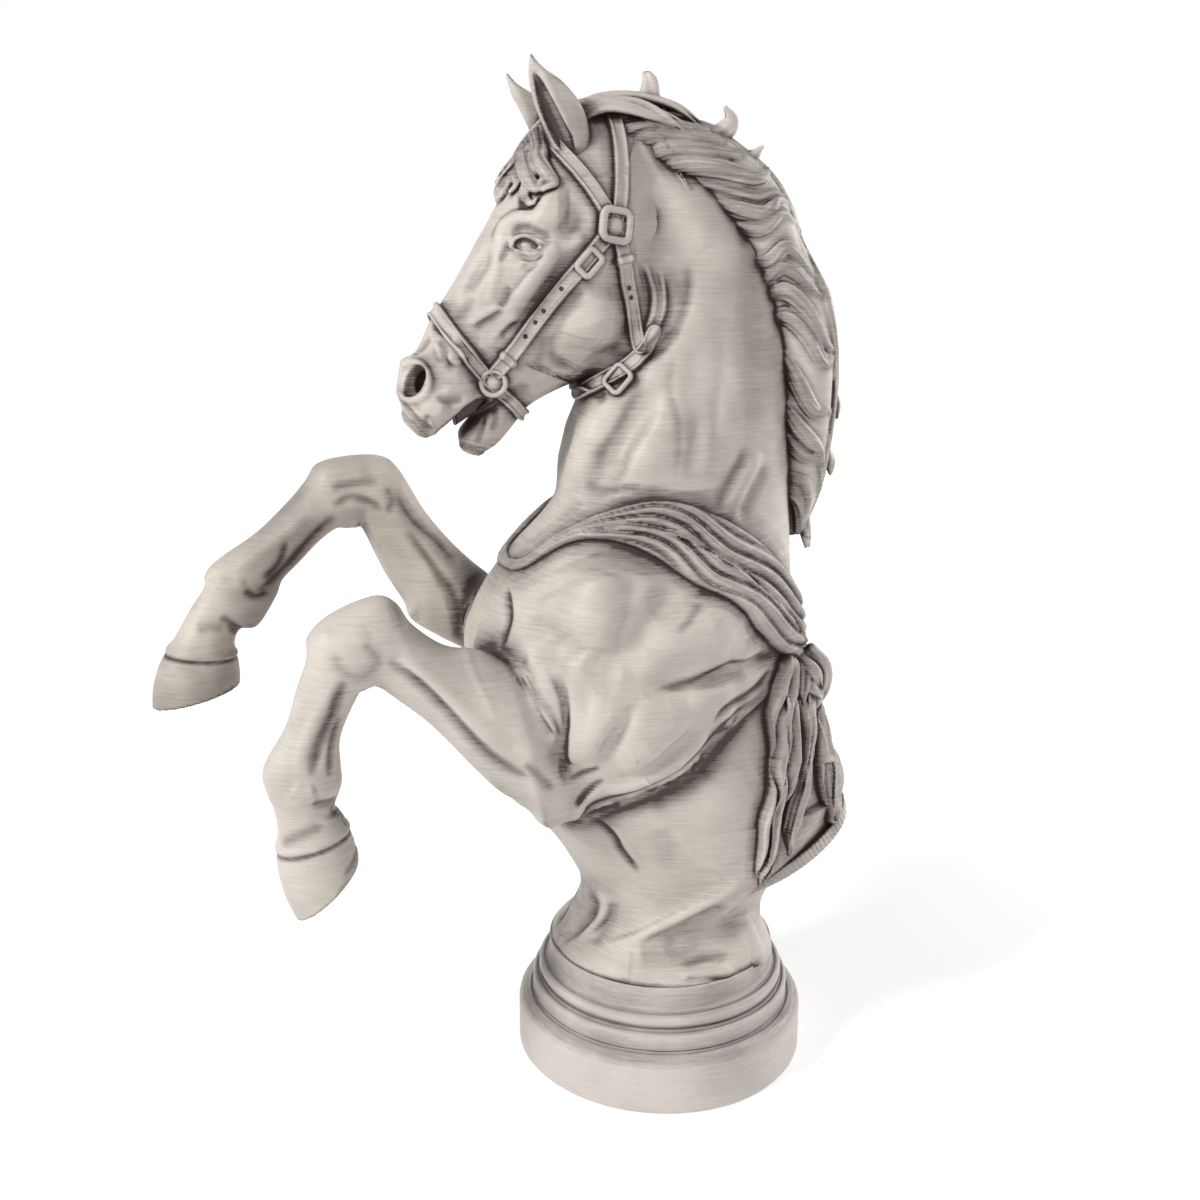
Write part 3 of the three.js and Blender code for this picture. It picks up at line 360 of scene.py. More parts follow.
    def sample(self, points, grid=None):
        """The field, or another grid of this clay, between its points; FAR outside."""
        grid = self.f if grid is None else grid
        p = (np.asarray(points, float) - self.low) / self.step
        top = np.array(grid.shape) - 1.001
        outside = np.any((p < 0) | (p > top), axis=1)
        p = np.clip(p, 0, top)
        i = p.astype(int)
        value = 0
        for corner in map(np.array, product((0, 1), repeat=3)):
            value = value + np.abs(1 - corner - (p - i)).prod(1) * grid[tuple((i + corner).T)]
        return np.where(outside, FAR, value)

    def normal_at(self, points, grid=None, steps=0.8):
        """Direction out of the body, from samples some steps to each side."""
        h = self.step * steps
        return unit(np.column_stack([self.sample(points + e * h, grid) - self.sample(points - e * h, grid)
                                     for e in np.eye(3)]))

    def settle(self, points, height):
        """Moves points along the surface normal, to a height over the surface."""
        for _ in range(self.SETTLE_STEPS):
            points = points + self.normal_at(points) * (height - self.sample(points))[:, None]
        return points

    def resample(self, other):
        """Another clay's field, read on this grid."""
        out = other.f
        for axis in range(3):
            shape = [-1 if i == axis else 1 for i in range(3)]
            place = (self.axes[axis] - other.low[axis]) / other.step
            top = out.shape[axis] - 1
            i = np.clip(place.astype(int), 0, top - 1)
            t = np.clip(place - i, 0, 1).astype(np.float32).reshape(shape)
            out = np.take(out, i, axis) * (1 - t) + np.take(out, i + 1, axis) * t
            out = np.where(((place < 0) | (place > top)).reshape(shape), FAR, out)
        return out

    def ring(self, centre, out, ahead, radius, bar, square=False, wide=1.0, drop=0.0):
        """Round or square ring in the plane across out; a knob where the radius is 0."""
        ahead = ahead / np.linalg.norm(ahead)
        centre = centre - out * drop
        reach = radius * wide + bar + 1
        at, *grid = self.block(centre - reach, centre + reach)
        h, a, b = in_frame(grid, centre, (out, ahead, np.cross(out, ahead)))
        if square:
            corner = radius * 0.45
            qa, qb = np.abs(a) - radius * wide + corner, np.abs(b) - radius + corner
            flat = np.hypot(np.maximum(qa, 0), np.maximum(qb, 0)) + np.minimum(np.maximum(qa, qb), 0) - corner
        else:
            flat = np.hypot(a, b) - radius
        d = np.hypot(np.maximum(flat, 0) if radius == 0 else flat, h) - bar / 2
        self.merge(at, d.astype(np.float32), 0.25)

    def hit(self, pixels):
        """Points where the camera's sight through these pixels meets the body."""
        out = []
        for px, py in pixels:
            d = sight(px, py)
            t = np.linspace(*((y - CAMERA[1]) / d[1] for y in (-ASIDE, ASIDE)), self.SIGHT_STEPS)
            p = CAMERA + t[:, None] * d
            v = self.sample(p)
            i = np.argmax(v < 0)
            out.append(p[i - 1] + v[i - 1] / (v[i - 1] - v[i]) * (p[i] - p[i - 1]) if i else p[np.argmin(v)])
        return np.array(out)

    def flank(self, points, side=-1):
        """Points on the body's flank over points x, z of the side elevation."""
        out = []
        for x, z in points:
            y = side * np.linspace(ASIDE, 0, self.FLANK_STEPS)
            v = self.sample(np.column_stack([np.full_like(y, x), y, np.full_like(y, z)]))
            out.append([x, y[np.argmax(v < 0) if v.min() < 0 else np.argmin(v)], z])
        return np.array(out)


def nets(clay, f):
    """Closed surface of a field: one point in each cell that the surface crosses."""
    f = np.pad(f, 1, constant_values=FAR)
    inside = f < 0
    n = np.array(f.shape) - 1
    count = np.zeros(n, np.uint8)
    corners = list(product((0, 1), repeat=3))
    for i, j, k in corners:
        count += inside[i:i + n[0], j:j + n[1], k:k + n[2]]
    cells = np.argwhere((count > 0) & (count < 8))
    ids = np.full(n, -1, np.int64)
    ids[tuple(cells.T)] = np.arange(len(cells))
    total, hits = np.zeros((len(cells), 3)), np.zeros(len(cells))
    for a, axis in product(corners, range(3)):
        if a[axis]:
            continue
        b = a + np.eye(3, dtype=int)[axis]
        fa, fb = (f[tuple((cells + end).T)].astype(float) for end in (a, b))
        crossing = (fa < 0) != (fb < 0)
        t = np.where(crossing, fa / np.where(crossing, fa - fb, 1), 0)
        total += np.where(crossing[:, None], a + t[:, None] * (b - a), 0)
        hits += crossing
    quads = []
    for axis in range(3):
        u, v = (axis + 1) % 3, (axis + 2) % 3
        first, second = (np.take(inside, range(i, inside.shape[axis] - 1 + i), axis) for i in (0, 1))
        edges = np.argwhere(first != second)
        edges = edges[(edges[:, u] > 0) & (edges[:, v] > 0)]
        ring = []
        for du, dv in ((-1, -1), (0, -1), (0, 0), (-1, 0)):
            cell = edges.copy()
            cell[:, u] += du
            cell[:, v] += dv
            ring.append(ids[tuple(cell.T)])
        ring = np.column_stack(ring)
        quads.append(np.where(first[tuple(edges.T)][:, None], ring, ring[:, ::-1]))
    return (cells + total / hits[:, None] - 1) * clay.step + clay.low, np.vstack(quads)


def biggest(points, quads):
    """Leaves out crumbs: keeps the largest connected part of a mesh."""
    label = np.arange(len(points))
    joined = np.vstack([quads[:, [i, i + 1]] for i in range(3)])
    while True:
        low = label[joined].min(1)
        new = label.copy()
        for end in joined.T:
            np.minimum.at(new, end, low)
        new = new[new]
        if (new == label).all():
            break
        label = new
    keep = label == np.bincount(label).argmax()
    order = np.cumsum(keep) - 1
    return points[keep], order[quads[keep[quads[:, 0]]]]


pieces, fields = [], []
NEAR_SKIN, NORMAL_STEPS = 1.6, 0.6  # in steps of the grid


def cast(clay, name, look, f=None, nodes=(), slot=None):
    """Turns a field into a piece; it stands in for the node that its name ends with."""
    clay.soak()
    whole = clay.f if f is None else f
    points, quads = biggest(*nets(clay, whole))
    normals = clay.normal_at(points, whole, NORMAL_STEPS)
    if f is not None:
        skin_side = np.abs(clay.sample(points)) < NEAR_SKIN * clay.step
        normals[skin_side] = clay.normal_at(points[skin_side])
    stain = clay.sample(points, clay.stain)
    stain[stain >= FAR] = 0
    nodes, slot = nodes or [name.split("_", 1)[1]], slot or look + "_print"
    pieces.append((name, nodes, slot, look, points, quads, normals, stain))
    fields.append((clay, whole))


# Rows of the side elevation, as in the solids: x and z of both edges, half width as a share, skew
HEAD_ROWS = rows("""
    -13.5 174.8 -3 158 0.5; -21.5 173.5 -4 153 0.7; -30 165.5 -3 145.5 0.9 0.12; -35 158 -4 136 1 0.12;
    -37.5 153 -8.5 129 1 0.1; -40.5 148 -17 125 0.86 0.05; -44.5 142 -24.5 122.5 0.72;
    -48.5 136 -31 120.5 0.64; -51 131 -35 119.8 0.62; -54 127 -40.5 118 0.66; -55.5 123 -45.5 115 0.6;
    -54.5 118.5 -49.5 113.5 0.4""")
JAW_ROWS = rows("""
    -31 127 -22 123.5 0.5; -36.5 122 -29.5 119.5 0.48; -41 117.5 -32.5 116 0.46; -43.5 114.5 -36 112 0.42;
    -43.5 112 -38.5 110.3 0.28""")
TRUNK_ROWS = rows("""
    -15 149 -6 171 0.2 0.2; -14 140 4 167.5 0.26 0.2; -17 132 12 161 0.31 0.2; -18.5 126 20 149.5 0.39 0.25;
    -19.5 118 24.5 131.5 0.46 0.25; -21 110 25.5 115 0.54 0.2; -23 102 26 98 0.64 0.15;
    -26.5 96.5 26.5 84.5 0.76 0.1; -34.5 88 27 76 0.9 0.05; -40.5 79 28.5 66.5 0.94 0.12;
    -43 69 31.5 55 0.94 0.2; -39.5 52.5 36.5 42.5 0.92 0.2; -30 34.5 40.3 31 0.86 0.1;
    -22.5 23.5 39.5 20 0.8; -17.5 13 39 8 0.7; -17 2 38 -6 0.66""")
LEFT_LEG_ROWS = rows("""
    -22 66 -10 44 0.8; -36 71 -27.5 36 1.36; -42.5 74 -34 41.5 1.3; -49.5 75.5 -41 46.5 1.2;
    -55.5 80 -52 59 1.02; -58.5 84.5 -58.5 65 0.96; -62.5 86 -62.5 68.5 1; -70.5 83 -64 68.5 1.02;
    -75 79 -65 68 0.96; -75.5 74.5 -66 67.5 0.84; -77.5 69 -68.5 62.5 0.68; -80 61.5 -70 58 0.64;
    -84.5 53.5 -70 53 0.8; -84 48.5 -70 49.5 0.8; -83 45.5 -71.5 45 0.74; -82.5 41 -70 43 0.86;
    -83 34.5 -68.5 38.5 1; -82 28 -67.5 35 1.1; -80 22.5 -67.5 33 1.14""")
RIGHT_LEG_ROWS = rows("""
    -16 66 -26 48 0.8; -33 79 -43 65 1.3; -41.5 86.5 -52 71.5 1.24; -48.5 95 -54 76 1.12;
    -54 104.5 -58 83 1.04; -58 107.5 -62 92 1; -65.5 107.5 -63.5 92.5 1.02; -71 106 -65.5 92.5 1;
    -73.5 102.5 -67.5 92.5 0.9; -77.5 98 -71 90 0.72; -84 92 -75.5 85.5 0.66; -91.5 87 -79 82 0.8;
    -94.5 84 -80.5 78.5 0.82; -95 81 -84.5 72.5 0.76; -98 76.5 -88 72 0.74; -101 71.5 -89.5 69 0.86;
    -104.5 66 -89 65 1; -106.5 60.5 -88.8 62 1.1; -107 56 -89 60 1.14""")
MANE_ROWS = rows("""
    -13 168 -16 174.6 0.6; -6 165 -5.5 175.5 0.8; 1.5 161 4.5 173 0.95; 7.5 156 11 170 1;
    13 149.5 18.8 164.8 1; 16.5 143 23.6 158 1; 19.5 136 27.5 150 1; 21.5 127 32.8 140 1; 22 117 35 127 1;
    22.5 108 35 114 0.95; 22.5 100 33.5 101.5 0.85; 23 93 30 92 0.6""")
# Swellings of the trunk: x, z, radius, height
MUSCLES = rows("""
    -14 80 15 2.6; 4 64 10 2.4; -23 56 10 3.4; -12 48 8 1.2; -7 66 6 -1.8; -26 88 7 1.6""")
HEAD_WIDTH, CHEST_WIDTH, LEG_WIDTH, MANE_WIDTH, LEG_Y = 24, 54, 13.6, 14, 17.5
KNEE_ROW, HOOF_ROW, CORONET_ROW, LAST_ROW, ROW_LENGTH = 8, 15, 15.75, 99, 5.0
CUT_HEIGHT, CUT_SLOPE = 13.5, 0.36
ASIDE = 34  # beyond the sides of the body

LEG_FORM = dict(width=LEG_WIDTH, fullness=0.9, caps=(0.5, 0.3), sunk=6.0)
FORMS = {
    "trunk": Form(TRUNK_ROWS, CHEST_WIDTH, 0, 0.9, (3, 2), MUSCLES),
    "head": Form(HEAD_ROWS, HEAD_WIDTH, 0, 0.85, (5, 1.6)),
    "jaw": Form(JAW_ROWS, HEAD_WIDTH, 0, 0.8, (0.5, 1.5)),
    "left": Form(LEFT_LEG_ROWS, y=-LEG_Y, **LEG_FORM),
    "right": Form(RIGHT_LEG_ROWS, y=LEG_Y, **LEG_FORM),
    "mane": Form(MANE_ROWS, MANE_WIDTH, 0, 0.9, (2, 2), slim=0.8),
}
BOXES = {
    "head": ((-60, -15, 107), (2, 15, 181)),
    "trunk": ((-47, -31, -0.9), (44, 31, 176)),
    "left": ((-89, -31, 18), (-2, -8, 90)),
    "right": ((-111, 8, 51), (-8, 31, 112)),
    "mane": ((-25, -10, 84), (39, 10, 182)),
}

# Rough copies of the bodies, to find where a pixel's sight meets them
ROUGH_STEP = 0.9 / COARSE
rough = {}
for name in ("head", "trunk", "left", "right"):
    rough[name] = Clay(*BOXES[name], ROUGH_STEP)
    rough[name].form(name, FORMS[name])
rough["head"].form("jaw", FORMS["jaw"], 1.0)
rough["head"].form("trunk", FORMS["trunk"], 1.6)

# Height, shift to the back and share of the way from waist to foot
PEDESTAL_ROWS = rows("""
    -1 0 0.97; 0 0 1; 2.4 0.2 0.72; 5 0.8 0.25; 8 1.4 0; 11 2 -0.05; 15 4 0.1; 20 7 0.3; 26 10 0.5;
    34 14 0.5""")
PEDESTAL_WAIST, PEDESTAL_FOOT, PEDESTAL_TOP = 20, 24.6, 34
TWIST_FOLDS, TWIST_TURN, TWIST_RISE, TWIST_DEPTH = 5, 0.35, 8, 1.3


def twisted(clay):
    """Field of the pedestal: a body of soft folds that turn as they rise."""
    z, *columns = spline(PEDESTAL_ROWS, 8).T
    shift, share = (np.interp(clay.z, z, column) for column in columns)
    rise = clay.z / TWIST_RISE
    turn = np.arctan2(clay.y, clay.x - shift) - TWIST_TURN * rise
    fold = np.sin(TWIST_FOLDS * turn) * TWIST_DEPTH * np.clip(rise, 0, 1)
    wide = PEDESTAL_WAIST + (PEDESTAL_FOOT - PEDESTAL_WAIST) * share + fold
    field = ((np.hypot(clay.x - shift, clay.y) - wide) * 0.9).clip(-FAR, FAR).astype(np.float32)
    return np.where(clay.z > PEDESTAL_TOP, FAR, field)


rough["pedestal"] = Clay((-30, -30, -0.9), (43, 30, 32), ROUGH_STEP)
rough["pedestal"].f = twisted(rough["pedestal"])


def drawn(body, pixels, smooth=3, clay=None):
    """Line on a body, drawn as pixels of the photograph's view; on the clay's surface where one is given."""
    line = spline(rough[body].hit(pixels), smooth)
    return line if clay is None else clay.settle(line, 0.0)


# Lines carved into the skin: depth (a ridge below 0) and width in millimetres, then pixels of the
# photograph's view; the word near keeps a line to the near side
HEAD_LINES = lines("""
    0.55 0.9 511.6,236 520,228.2 532.6,228.2 545.2,236 550.8,245.8;
    -0.55 0.5 513.8,239.4 521.4,234.6 531.2,235.4 539,240.5 545.8,245;
    0.5 0.35 513.8,242.2 521.4,237.7 531.2,238.2 538.5,242.7 544.6,246.1;
    -0.45 0.5 515,248.6 522.8,253.4 532.6,253.9 542.4,249.4 546.3,246.6;
    0.4 0.45 517.2,252.2 525.6,258.4 534.6,259 545.2,254.2;
    -0.35 0.5 519.4,260.1 528.4,263.4 537.4,261.8 545.8,257.3;
    0.3 0.6 521.4,264.6 529.8,267.4 539.6,264.6;
    0.55 0.6 511.6,243 507.4,248.6 503.2,257 499,259.8;
    0.5 0.8 494.8,244.4 495.4,230.4 503.2,219.2 514.4,211.4 531.2,208;
    -0.5 1.6 548,247.2 559.2,245.8 573.2,241.6 584.4,233.2;
    -0.9 1.7 559.2,245.8 545.2,261.2 531.2,280.8 520,297.6 514.4,308.8;
    0.4 1 548,252.8 535.4,266.8 521.4,283.6 509.4,293.4;
    0.5 0.9 510,286 505.4,297.6 502,308;
    0.35 2.2 576,247.2 562,272.4 548,294.8 536.8,314.4;
    0.3 1.6 490.6,248.6 487.8,264 476.6,278 464,293.4;
    -0.35 0.9 500.4,264 496.2,278 492,292 489.2,306;
    -0.5 0.8 503.2,304.6 492,311 478,318.6 466.8,325.6;
    0.45 0.6 504.6,309.4 494.8,315.8 483.6,322.8 473.8,329.8;
    -0.45 0.8 520,315.8 508.8,322.8 499,332.6 489.2,335.4;
    0.4 0.7 518.6,322.2 507.4,329.8 500.4,338.2;
    0.25 1.2 474,296 464,313 454,321;
    0.45 0.6 433.2,322.8 443,331.2 451.4,338.2 453.4,346.6;
    0.5 0.8 440.2,338.2 445.8,348 445,362 453.4,371.8;
    0.45 0.7 453.4,343.8 464,346.6 470.2,354.2 464,362;
    -0.4 0.7 447.2,353.6 453.4,360.6 464,364.8;
    -0.5 0.9 436,341 439.4,353.6 438.8,362;
    0.35 0.9 430.4,336.8 422,348 413.6,355;
    0.3 0.7 401,399.8 410.8,412.4 422,424.2 436,430.6;
    -0.5 1.2 433.2,404 450,412.4 464,404 476.6,397;
    0.35 0.7 430.4,412.4 424.8,423.6 429,432;
    -0.4 1.2 440.2,387.2 453.4,390 466.8,388.6 475.2,380.2;
    0.35 0.8 436,397 450,401.2 464,398.4;
    0.35 0.5 484.2,415.2 481.4,429.2 476.6,444.6;
    0.35 0.6 492,404 496.2,418 492,432;
    0.35 1.6 585.8,286.4 567.6,308.8 553,336.8 549.4,356.4;
    0.4 1.1 549.4,343.8 555,359.2 570.4,368.2 587.2,369.8;
    -0.45 1 525.6,388.6 536.8,380.2 553.6,374.6 573.2,371.8;
    0.3 1.4 532.6,370.4 541,353.6 545.2,336.8;
    -0.6 4 604,286.4 595.6,311.6 592.8,336.8 601.2,359.2;
    -0.55 0.8 644.6,261.2 653,286.4 654.4,308.8 647.4,331.2;
    0.5 0.55 650.2,264 657.8,286.4 659.4,308.8 651.6,334;
    -0.7 0.8 658.6,266.8 665,286.4 665.6,308.8 655.8,334 643.2,345.2;
    0.4 0.6 639,261.2 646,286.4 647.4,308.8 641.8,329.8;
    1.3 1 668.4,275.2 672.6,297.6 668.4,322.8 655.8,343.8 640.4,356.4;
    0.8 2.4 664,262 676,290 677,318 664,346 648,362""")
TRUNK_LINES = lines("""
    0.8 0.9 654,690 670,687 686.4,682.9 712,675.8 734.4,668.8 756.8,659.8 776,652.8;
    0.4 3 640,692 676.8,689.6 712,680 747.2,668.8;
    -1.1 5 632,672 651.2,659.2 676.8,646.4 702.4,633.6 724.8,620.8;
    1 1.3 760,700.8 740.8,716.8 721.6,729.6 708.8,745.6 692.8,763.2 670.4,780.8 648,792 625.6,801.6 600,809
        580.8,817.6 566.4,828.2;
    0.5 3.2 753.6,710.4 728,736 705.6,760 676.8,785.6 644.8,803.2 606.4,816 580.8,827.2;
    -1 2.6 737.6,704 715.2,723.2 696,745.6 670.4,766.4 638.4,782.4 606.4,792;
    0.8 0.8 771.2,668.8 760,684.8 744,697.6 724.8,707.2 712,723.2;
    -0.6 1 772.8,684.8 760,704 740.8,723.2 721.6,736 708.8,752;
    0.6 0.8 769.6,697.6 753.6,716.8 737.6,732.8 718.4,752;
    -1.1 4.5 590.4,710.4 619.2,716.8 651.2,713.6 683.2,704;
    0.6 0.5 568,776 582,773 600,767;
    0.6 0.5 570,799 586,790 604,779;
    -0.6 1.1 566,808 582,799 602,789;
    0.5 0.7 545.6,668.8 558.4,688 565.8,713.6 568,739.2 565.4,758.4 561,777.6;
    -0.8 1.6 571.2,678.4 576,704 576,736 571.2,761.6;
    0.9 1 near 507.2,587.2 509.8,614.4 505.3,633.6 499.5,649.6;
    -0.4 0.7 near 511,579.2 513,608 508.5,633.6 504,652.8;
    -0.9 3.6 600,576 596.2,601.6 599.4,630.4 606.4,659.2;
    0.7 2.6 632,576 622.4,608 616.6,633.6 614.4,659.2;
    0.6 3 676.8,585.6 660.8,608 644.8,627.2 628.8,652.8;
    0.35 1.4 702.4,601.6 689.6,620.8 676.8,633.6;
    0.4 3 536,614.4 548.8,633.6 568,649.6;
    -0.5 2 523.2,659.2 545.6,667.2 568,672;
    0.9 0.7 near 582.4,819.8 600,826.2 614.4,838.4 619.8,848.6 632,864 639,873;
    -0.5 0.9 near 590.4,819.2 612.8,828.8 628.8,848 644.8,867.2;
    0.3 2.5 657.6,828.8 670.4,848 664,870.4;
    -0.4 5 712,768 715.2,800 705.6,832""")
NECK_LINES = lines("""
    0.5 1.2 688,261.6 686.6,290.4 679,319.2 661,344.4 641.9,363.1;
    -1 4 698.8,276 705.3,312 706,369.6 697,405.6 688.7,448.8 685.1,484.8;
    0.3 1.1 674.3,355.2 670,384 674.3,420 676.5,456 674.3,481.9;
    -0.9 2.4 666.4,362.4 648.4,394.8 634,434.4 620.3,474;
    0.6 1.6 644.8,384 626.8,412.8 608.8,448.8 598,474;
    -0.5 1.8 623.2,384 605.2,412.8 587.2,448.8;
    -0.9 1.8 760,450.6 742.7,484.8 721.1,525.1;
    0.6 1.5 749.2,447 729.4,481.2 716.8,515.4;
    0.5 1.5 767.2,463.2 752.8,492 738.4,520.8;
    0.5 2.6 724,384 724,420 713.2,456 706,492;
    -0.7 2.6 644.8,168 670,193.2 695.2,222 709.6,247.2;
    0.5 3.2 731.2,211.2 752.8,261.6 760,312 760,369.6;
    0.4 1 583.6,484.8 608.8,488.4 641.2,490.2""")
LEFT_LINES = lines("""
    1 1 386.7,660 416.7,680.7 446.7,710 473.3,740 500,763.3 531.7,781.7;
    -0.7 1.8 396.7,660 423.3,676.7 453.3,703.3 483.3,730 510,750;
    0.6 1.2 376.7,688.3 413.3,717.3 446.7,750 480,777.3 511.7,797.3;
    -0.2 0.8 463.3,648.3 473.3,673.3 488.3,703.3 498.3,723.3;
    0.25 1.3 333.3,646.7 340,668.3 360,678.3 383.3,663.3;
    -0.5 2 316.7,633.3 330,643.3 350,643.3 370,633.3;
    0.2 1.2 363.3,643.3 376.7,656.7 380,670;
    1 0.9 345,680 331.7,716.7 318.3,746.7 311.7,776.7;
    0.7 0.6 340,716.7 331.7,746.7 329.3,776.7;
    -0.5 1.2 330,690 316.7,716.7 303.3,746.7 296.7,773.3;
    -0.7 1.5 290,788.3 303.3,795 316.7,791.7;
    0.6 0.8 311.7,803.3 325,804 336,799.3;
    0.4 0.9 330,806.7 339.3,813.3 346.7,826.7;
    0.4 1.2 280,843.3 303.3,835 326.7,823.3;
    0.3 0.4 356.7,840 354,860 343.3,876.7;
    -0.7 0.7 523.3,667.3 543.3,684 556.7,710 563.3,738.3;
    0.4 0.6 518.3,671.7 538.3,690 550.7,713.3 556.7,740;
    0.35 0.6 533.3,665 554,681.7 566.7,706.7 570.7,730;
    -0.5 1.6 510,806.7 530,813.3 550,820;
    0.5 1.2 523.3,763.3 543.3,780 556.7,790""")
RIGHT_LINES = lines("""
    0.45 0.8 333.3,506.7 350,498.3 366.7,500.7 384,510.7;
    0.35 1.2 330,488.3 356.7,483.3 380,480;
    -0.5 2.2 316.7,480 343.3,470 370,470;
    0.35 0.9 386.7,486.7 393.3,501.7 386.7,513.3;
    0.7 1 393.3,490 413.3,520 436.7,540 458.3,563.3;
    -0.5 1.6 386.7,516.7 410,543.3 426.7,566.7 436.7,590;
    0.5 1.2 406.7,530 430,560 450,586.7 460,610;
    0.8 0.9 336.7,515 310,540 283.3,570 256.7,593.3;
    -0.5 1.3 316.7,508.3 286.7,533.3 260,553.3 230,576.7;
    0.5 0.7 286.7,540 280,563.3 263.3,580;
    -0.6 1.6 213.3,580 230,586.7 246.7,583.3;
    0.6 0.8 243.3,590 256.7,596.7 270,590;
    0.5 0.9 220,616.7 230,623.3 240,630;
    0.35 1.3 196.7,630 210,626.7 226.7,630""")
PEDESTAL_LINES = lines("""
    -1.3 1.1 740,880 724,892 700,906 664,925 632,940 604,946;
    1.6 3 640,950 670,944 700,930 724,912;
    -1 1 603.2,886.4 607.7,900.4 603.2,915.8 590.6,928.4 576.6,939.6;
    0.8 0.9 592,889.2 597,903.2 590.6,920 573.8,934 561.2,945.2;
    -0.8 1.1 578,897.6 575.2,914.4 562.6,932.6 553.4,948;
    0.5 0.8 564,914.4 558.4,928.4 553.4,936.8;
    0.5 1.6 614.4,897.6 614.4,914.4 603.2,931.2 592,945.2;
    1.6 2 663.4,949.4 687.2,935.7 709.6,918.9 726.4,903.2;
    0.5 2.4 631.2,959.2 659.2,948 687.2,948 709.6,936.8;
    -1.3 3 near 757.2,914.4 763.4,936.8 760,962 750.2,981.6;
    -0.8 1.3 679.4,976.6 692.8,968.2 712.4,966.5 733.4,973.8;
    0.7 1.3 681.6,964.8 704,956.4 729.2,953.6;
    0.4 0.5 680.2,981.6 701.2,979.4 726.4,980.5;
    -0.5 0.6 629,948 627.3,970.4 624.5,991.4""")
EMPHASIS, INNER_SIDE, LEG_WASH = 1.15, 0.8, 0.5

# Masses of the body, raised (below 0) or hollowed before the lines are cut: depth, width and pixels
MASSES = lines("""
    -2.6 7 588,556 598,590 602,622 602,652;
    -1.4 6 560,590 572,620 584,650;
    -2.2 6.5 700,592 722,618 742,646;
    1.9 3.4 606,672 640,636 668,608 700,580;
    -1.2 4 760,628 748,650 730,662;
    1.5 1.8 668,690 692,686 720,677 756,661 784,645;
    -2.2 3.8 604,704 634,712 664,707 700,695 738,679;
    -1.9 3.2 604,692 596,716 586,742 576,766;
    -2.3 4 690,702 668,724 646,746 620,768;
    0.5 1.8 566,700 568,728 562,758;
    -1 12 660,840 700,826 735,790 745,750;
    1.2 2.6 584,660 600,668 622,672;
    1.6 1.7 644,700 630,714 615,734 605,752 594,767;
    1.4 1.7 712,710 692,731 672,747 652,766 630,779 604,784;
    0.8 1.6 726,706 712,728 696,742;
    3.2 3 668,372 646,408 622,446 600,480 585,505;
    -1.8 3.4 600,395 588,430 574,470 560,495;
    -1.6 2.4 636,385 622,425 604,465;
    -2.4 4.2 690,300 676,360 660,420 640,470 615,505;
    1.3 2.4 700,400 694,440 690,490;
    -1.2 4 715,300 712,380 708,450 702,500;
    0.9 4 740,260 752,330 750,400 740,470;
    -1.3 5 655,170 690,200 720,240 735,280;
    1.4 4 540,610 560,640 575,665;
    -1.5 3 525,660 545,690 555,720 560,750""")
HEAD_MASSES = lines("""
    -2.6 3.6 536,203 552,211 570,212;
    1.5 1.8 586,206 568,226 550,242;
    1 1 524,197 525,205 523,211;
    -2 5.5 590,300 598,328 592,350;
    1.9 3.4 568,262 550,292 534,320 520,345;
    -1.7 1.9 556,250 538,278 518,304 502,328;
    0.4 2.6 495,252 480,276 464,298;
    -0.8 1.6 506,236 492,268 478,296 470,312;
    -0.6 2.2 500,205 486,240 468,275 452,308;
    -1.5 1.7 499,255 499,240 505,226 518,218 534,220 548,230;
    1.2 3 474,350 482,370 500,392;
    1.3 2.2 425,352 436,370 450,388;
    -0.9 1.8 444,330 452,350 462,366;
    -0.6 1.8 412,350 403,366 398,380;
    -0.8 2.6 418,402 436,412 452,412;
    0.8 3 604,262 620,300 622,336;
    -0.9 2 560,376 590,366 616,352""")
MASS_EMPHASIS = 1.2

# Ledges, where one mass lies over the next: depth, width of the steep side and of the gentle side, pixels
LEDGES = lines("""
    2 1.2 6 768,690 745,716 722,738 706,757 686,775 660,790 630,803 600,812 572,824;
    0.5 0.7 3 558,775 566,752 568,720 563,690 552,668""")
# Wash along the great arc of the shoulder, and painted shade that runs out below it: its line, then strength,
# width and taper
ARC_LINE = pairs("774,694 750,722 728,744 711,763 690,782 664,797 632,811 604,820 578,832")
ARC_WASH_AND_SHADE = ((0.5, 2.0, 0.4), (0.7, 0.9, 0.25))


MOST_STAIN = 0.8


def washed(depth, width):
    """Share of dark wash that gathers in a groove of this depth and width."""
    return min(MOST_STAIN, MOST_STAIN * max(depth, 0)) * np.clip(1.7 - 0.6 * width, 0.1, 1)


def carve(clay, body, drawing, wash):
    """Presses drawn lines into the skin, with wash in its grooves."""
    for pixels, (depth, width), both in drawing:
        stain = wash * washed(depth, width)
        clay.stroke(drawn(body, pixels, 3, clay), depth * EMPHASIS, width, both, stain=stain)


def carve_leg(clay, name, drawing):
    """Carves the outer side of a leg, and the same lines less deep into its inner side."""
    for pixels, (depth, width), _ in drawing:
        points = drawn(name, pixels, 3, clay)
        for share in (1, INNER_SIDE):
            clay.stroke(points, depth * EMPHASIS * share, width, stain=LEG_WASH * washed(depth, width))
            points = points * (1, -1, 1) + (0, 2 * FORMS[name].y, 0)


def mould(clay, body, masses, emphasis=1.0):
    """Raises and hollows the masses of a body."""
    for pixels, (depth, width), _ in masses:
        clay.stroke(drawn(body, pixels, 3, clay), depth * emphasis, width, both=True, taper=0.35)


def fold_over(clay):
    """Ledges of the chest, and the wash and painted shade below them."""
    for pixels, measures, _ in LEDGES:
        clay.ledge(drawn("trunk", pixels, 5, clay), *measures)
    # Painted shade below the arc's overhang, kept with the creases' wash
    for line in mirrored(drawn("trunk", ARC_LINE, 5)):
        clay.creases += [(line, *wash) for wash in ARC_WASH_AND_SHADE]


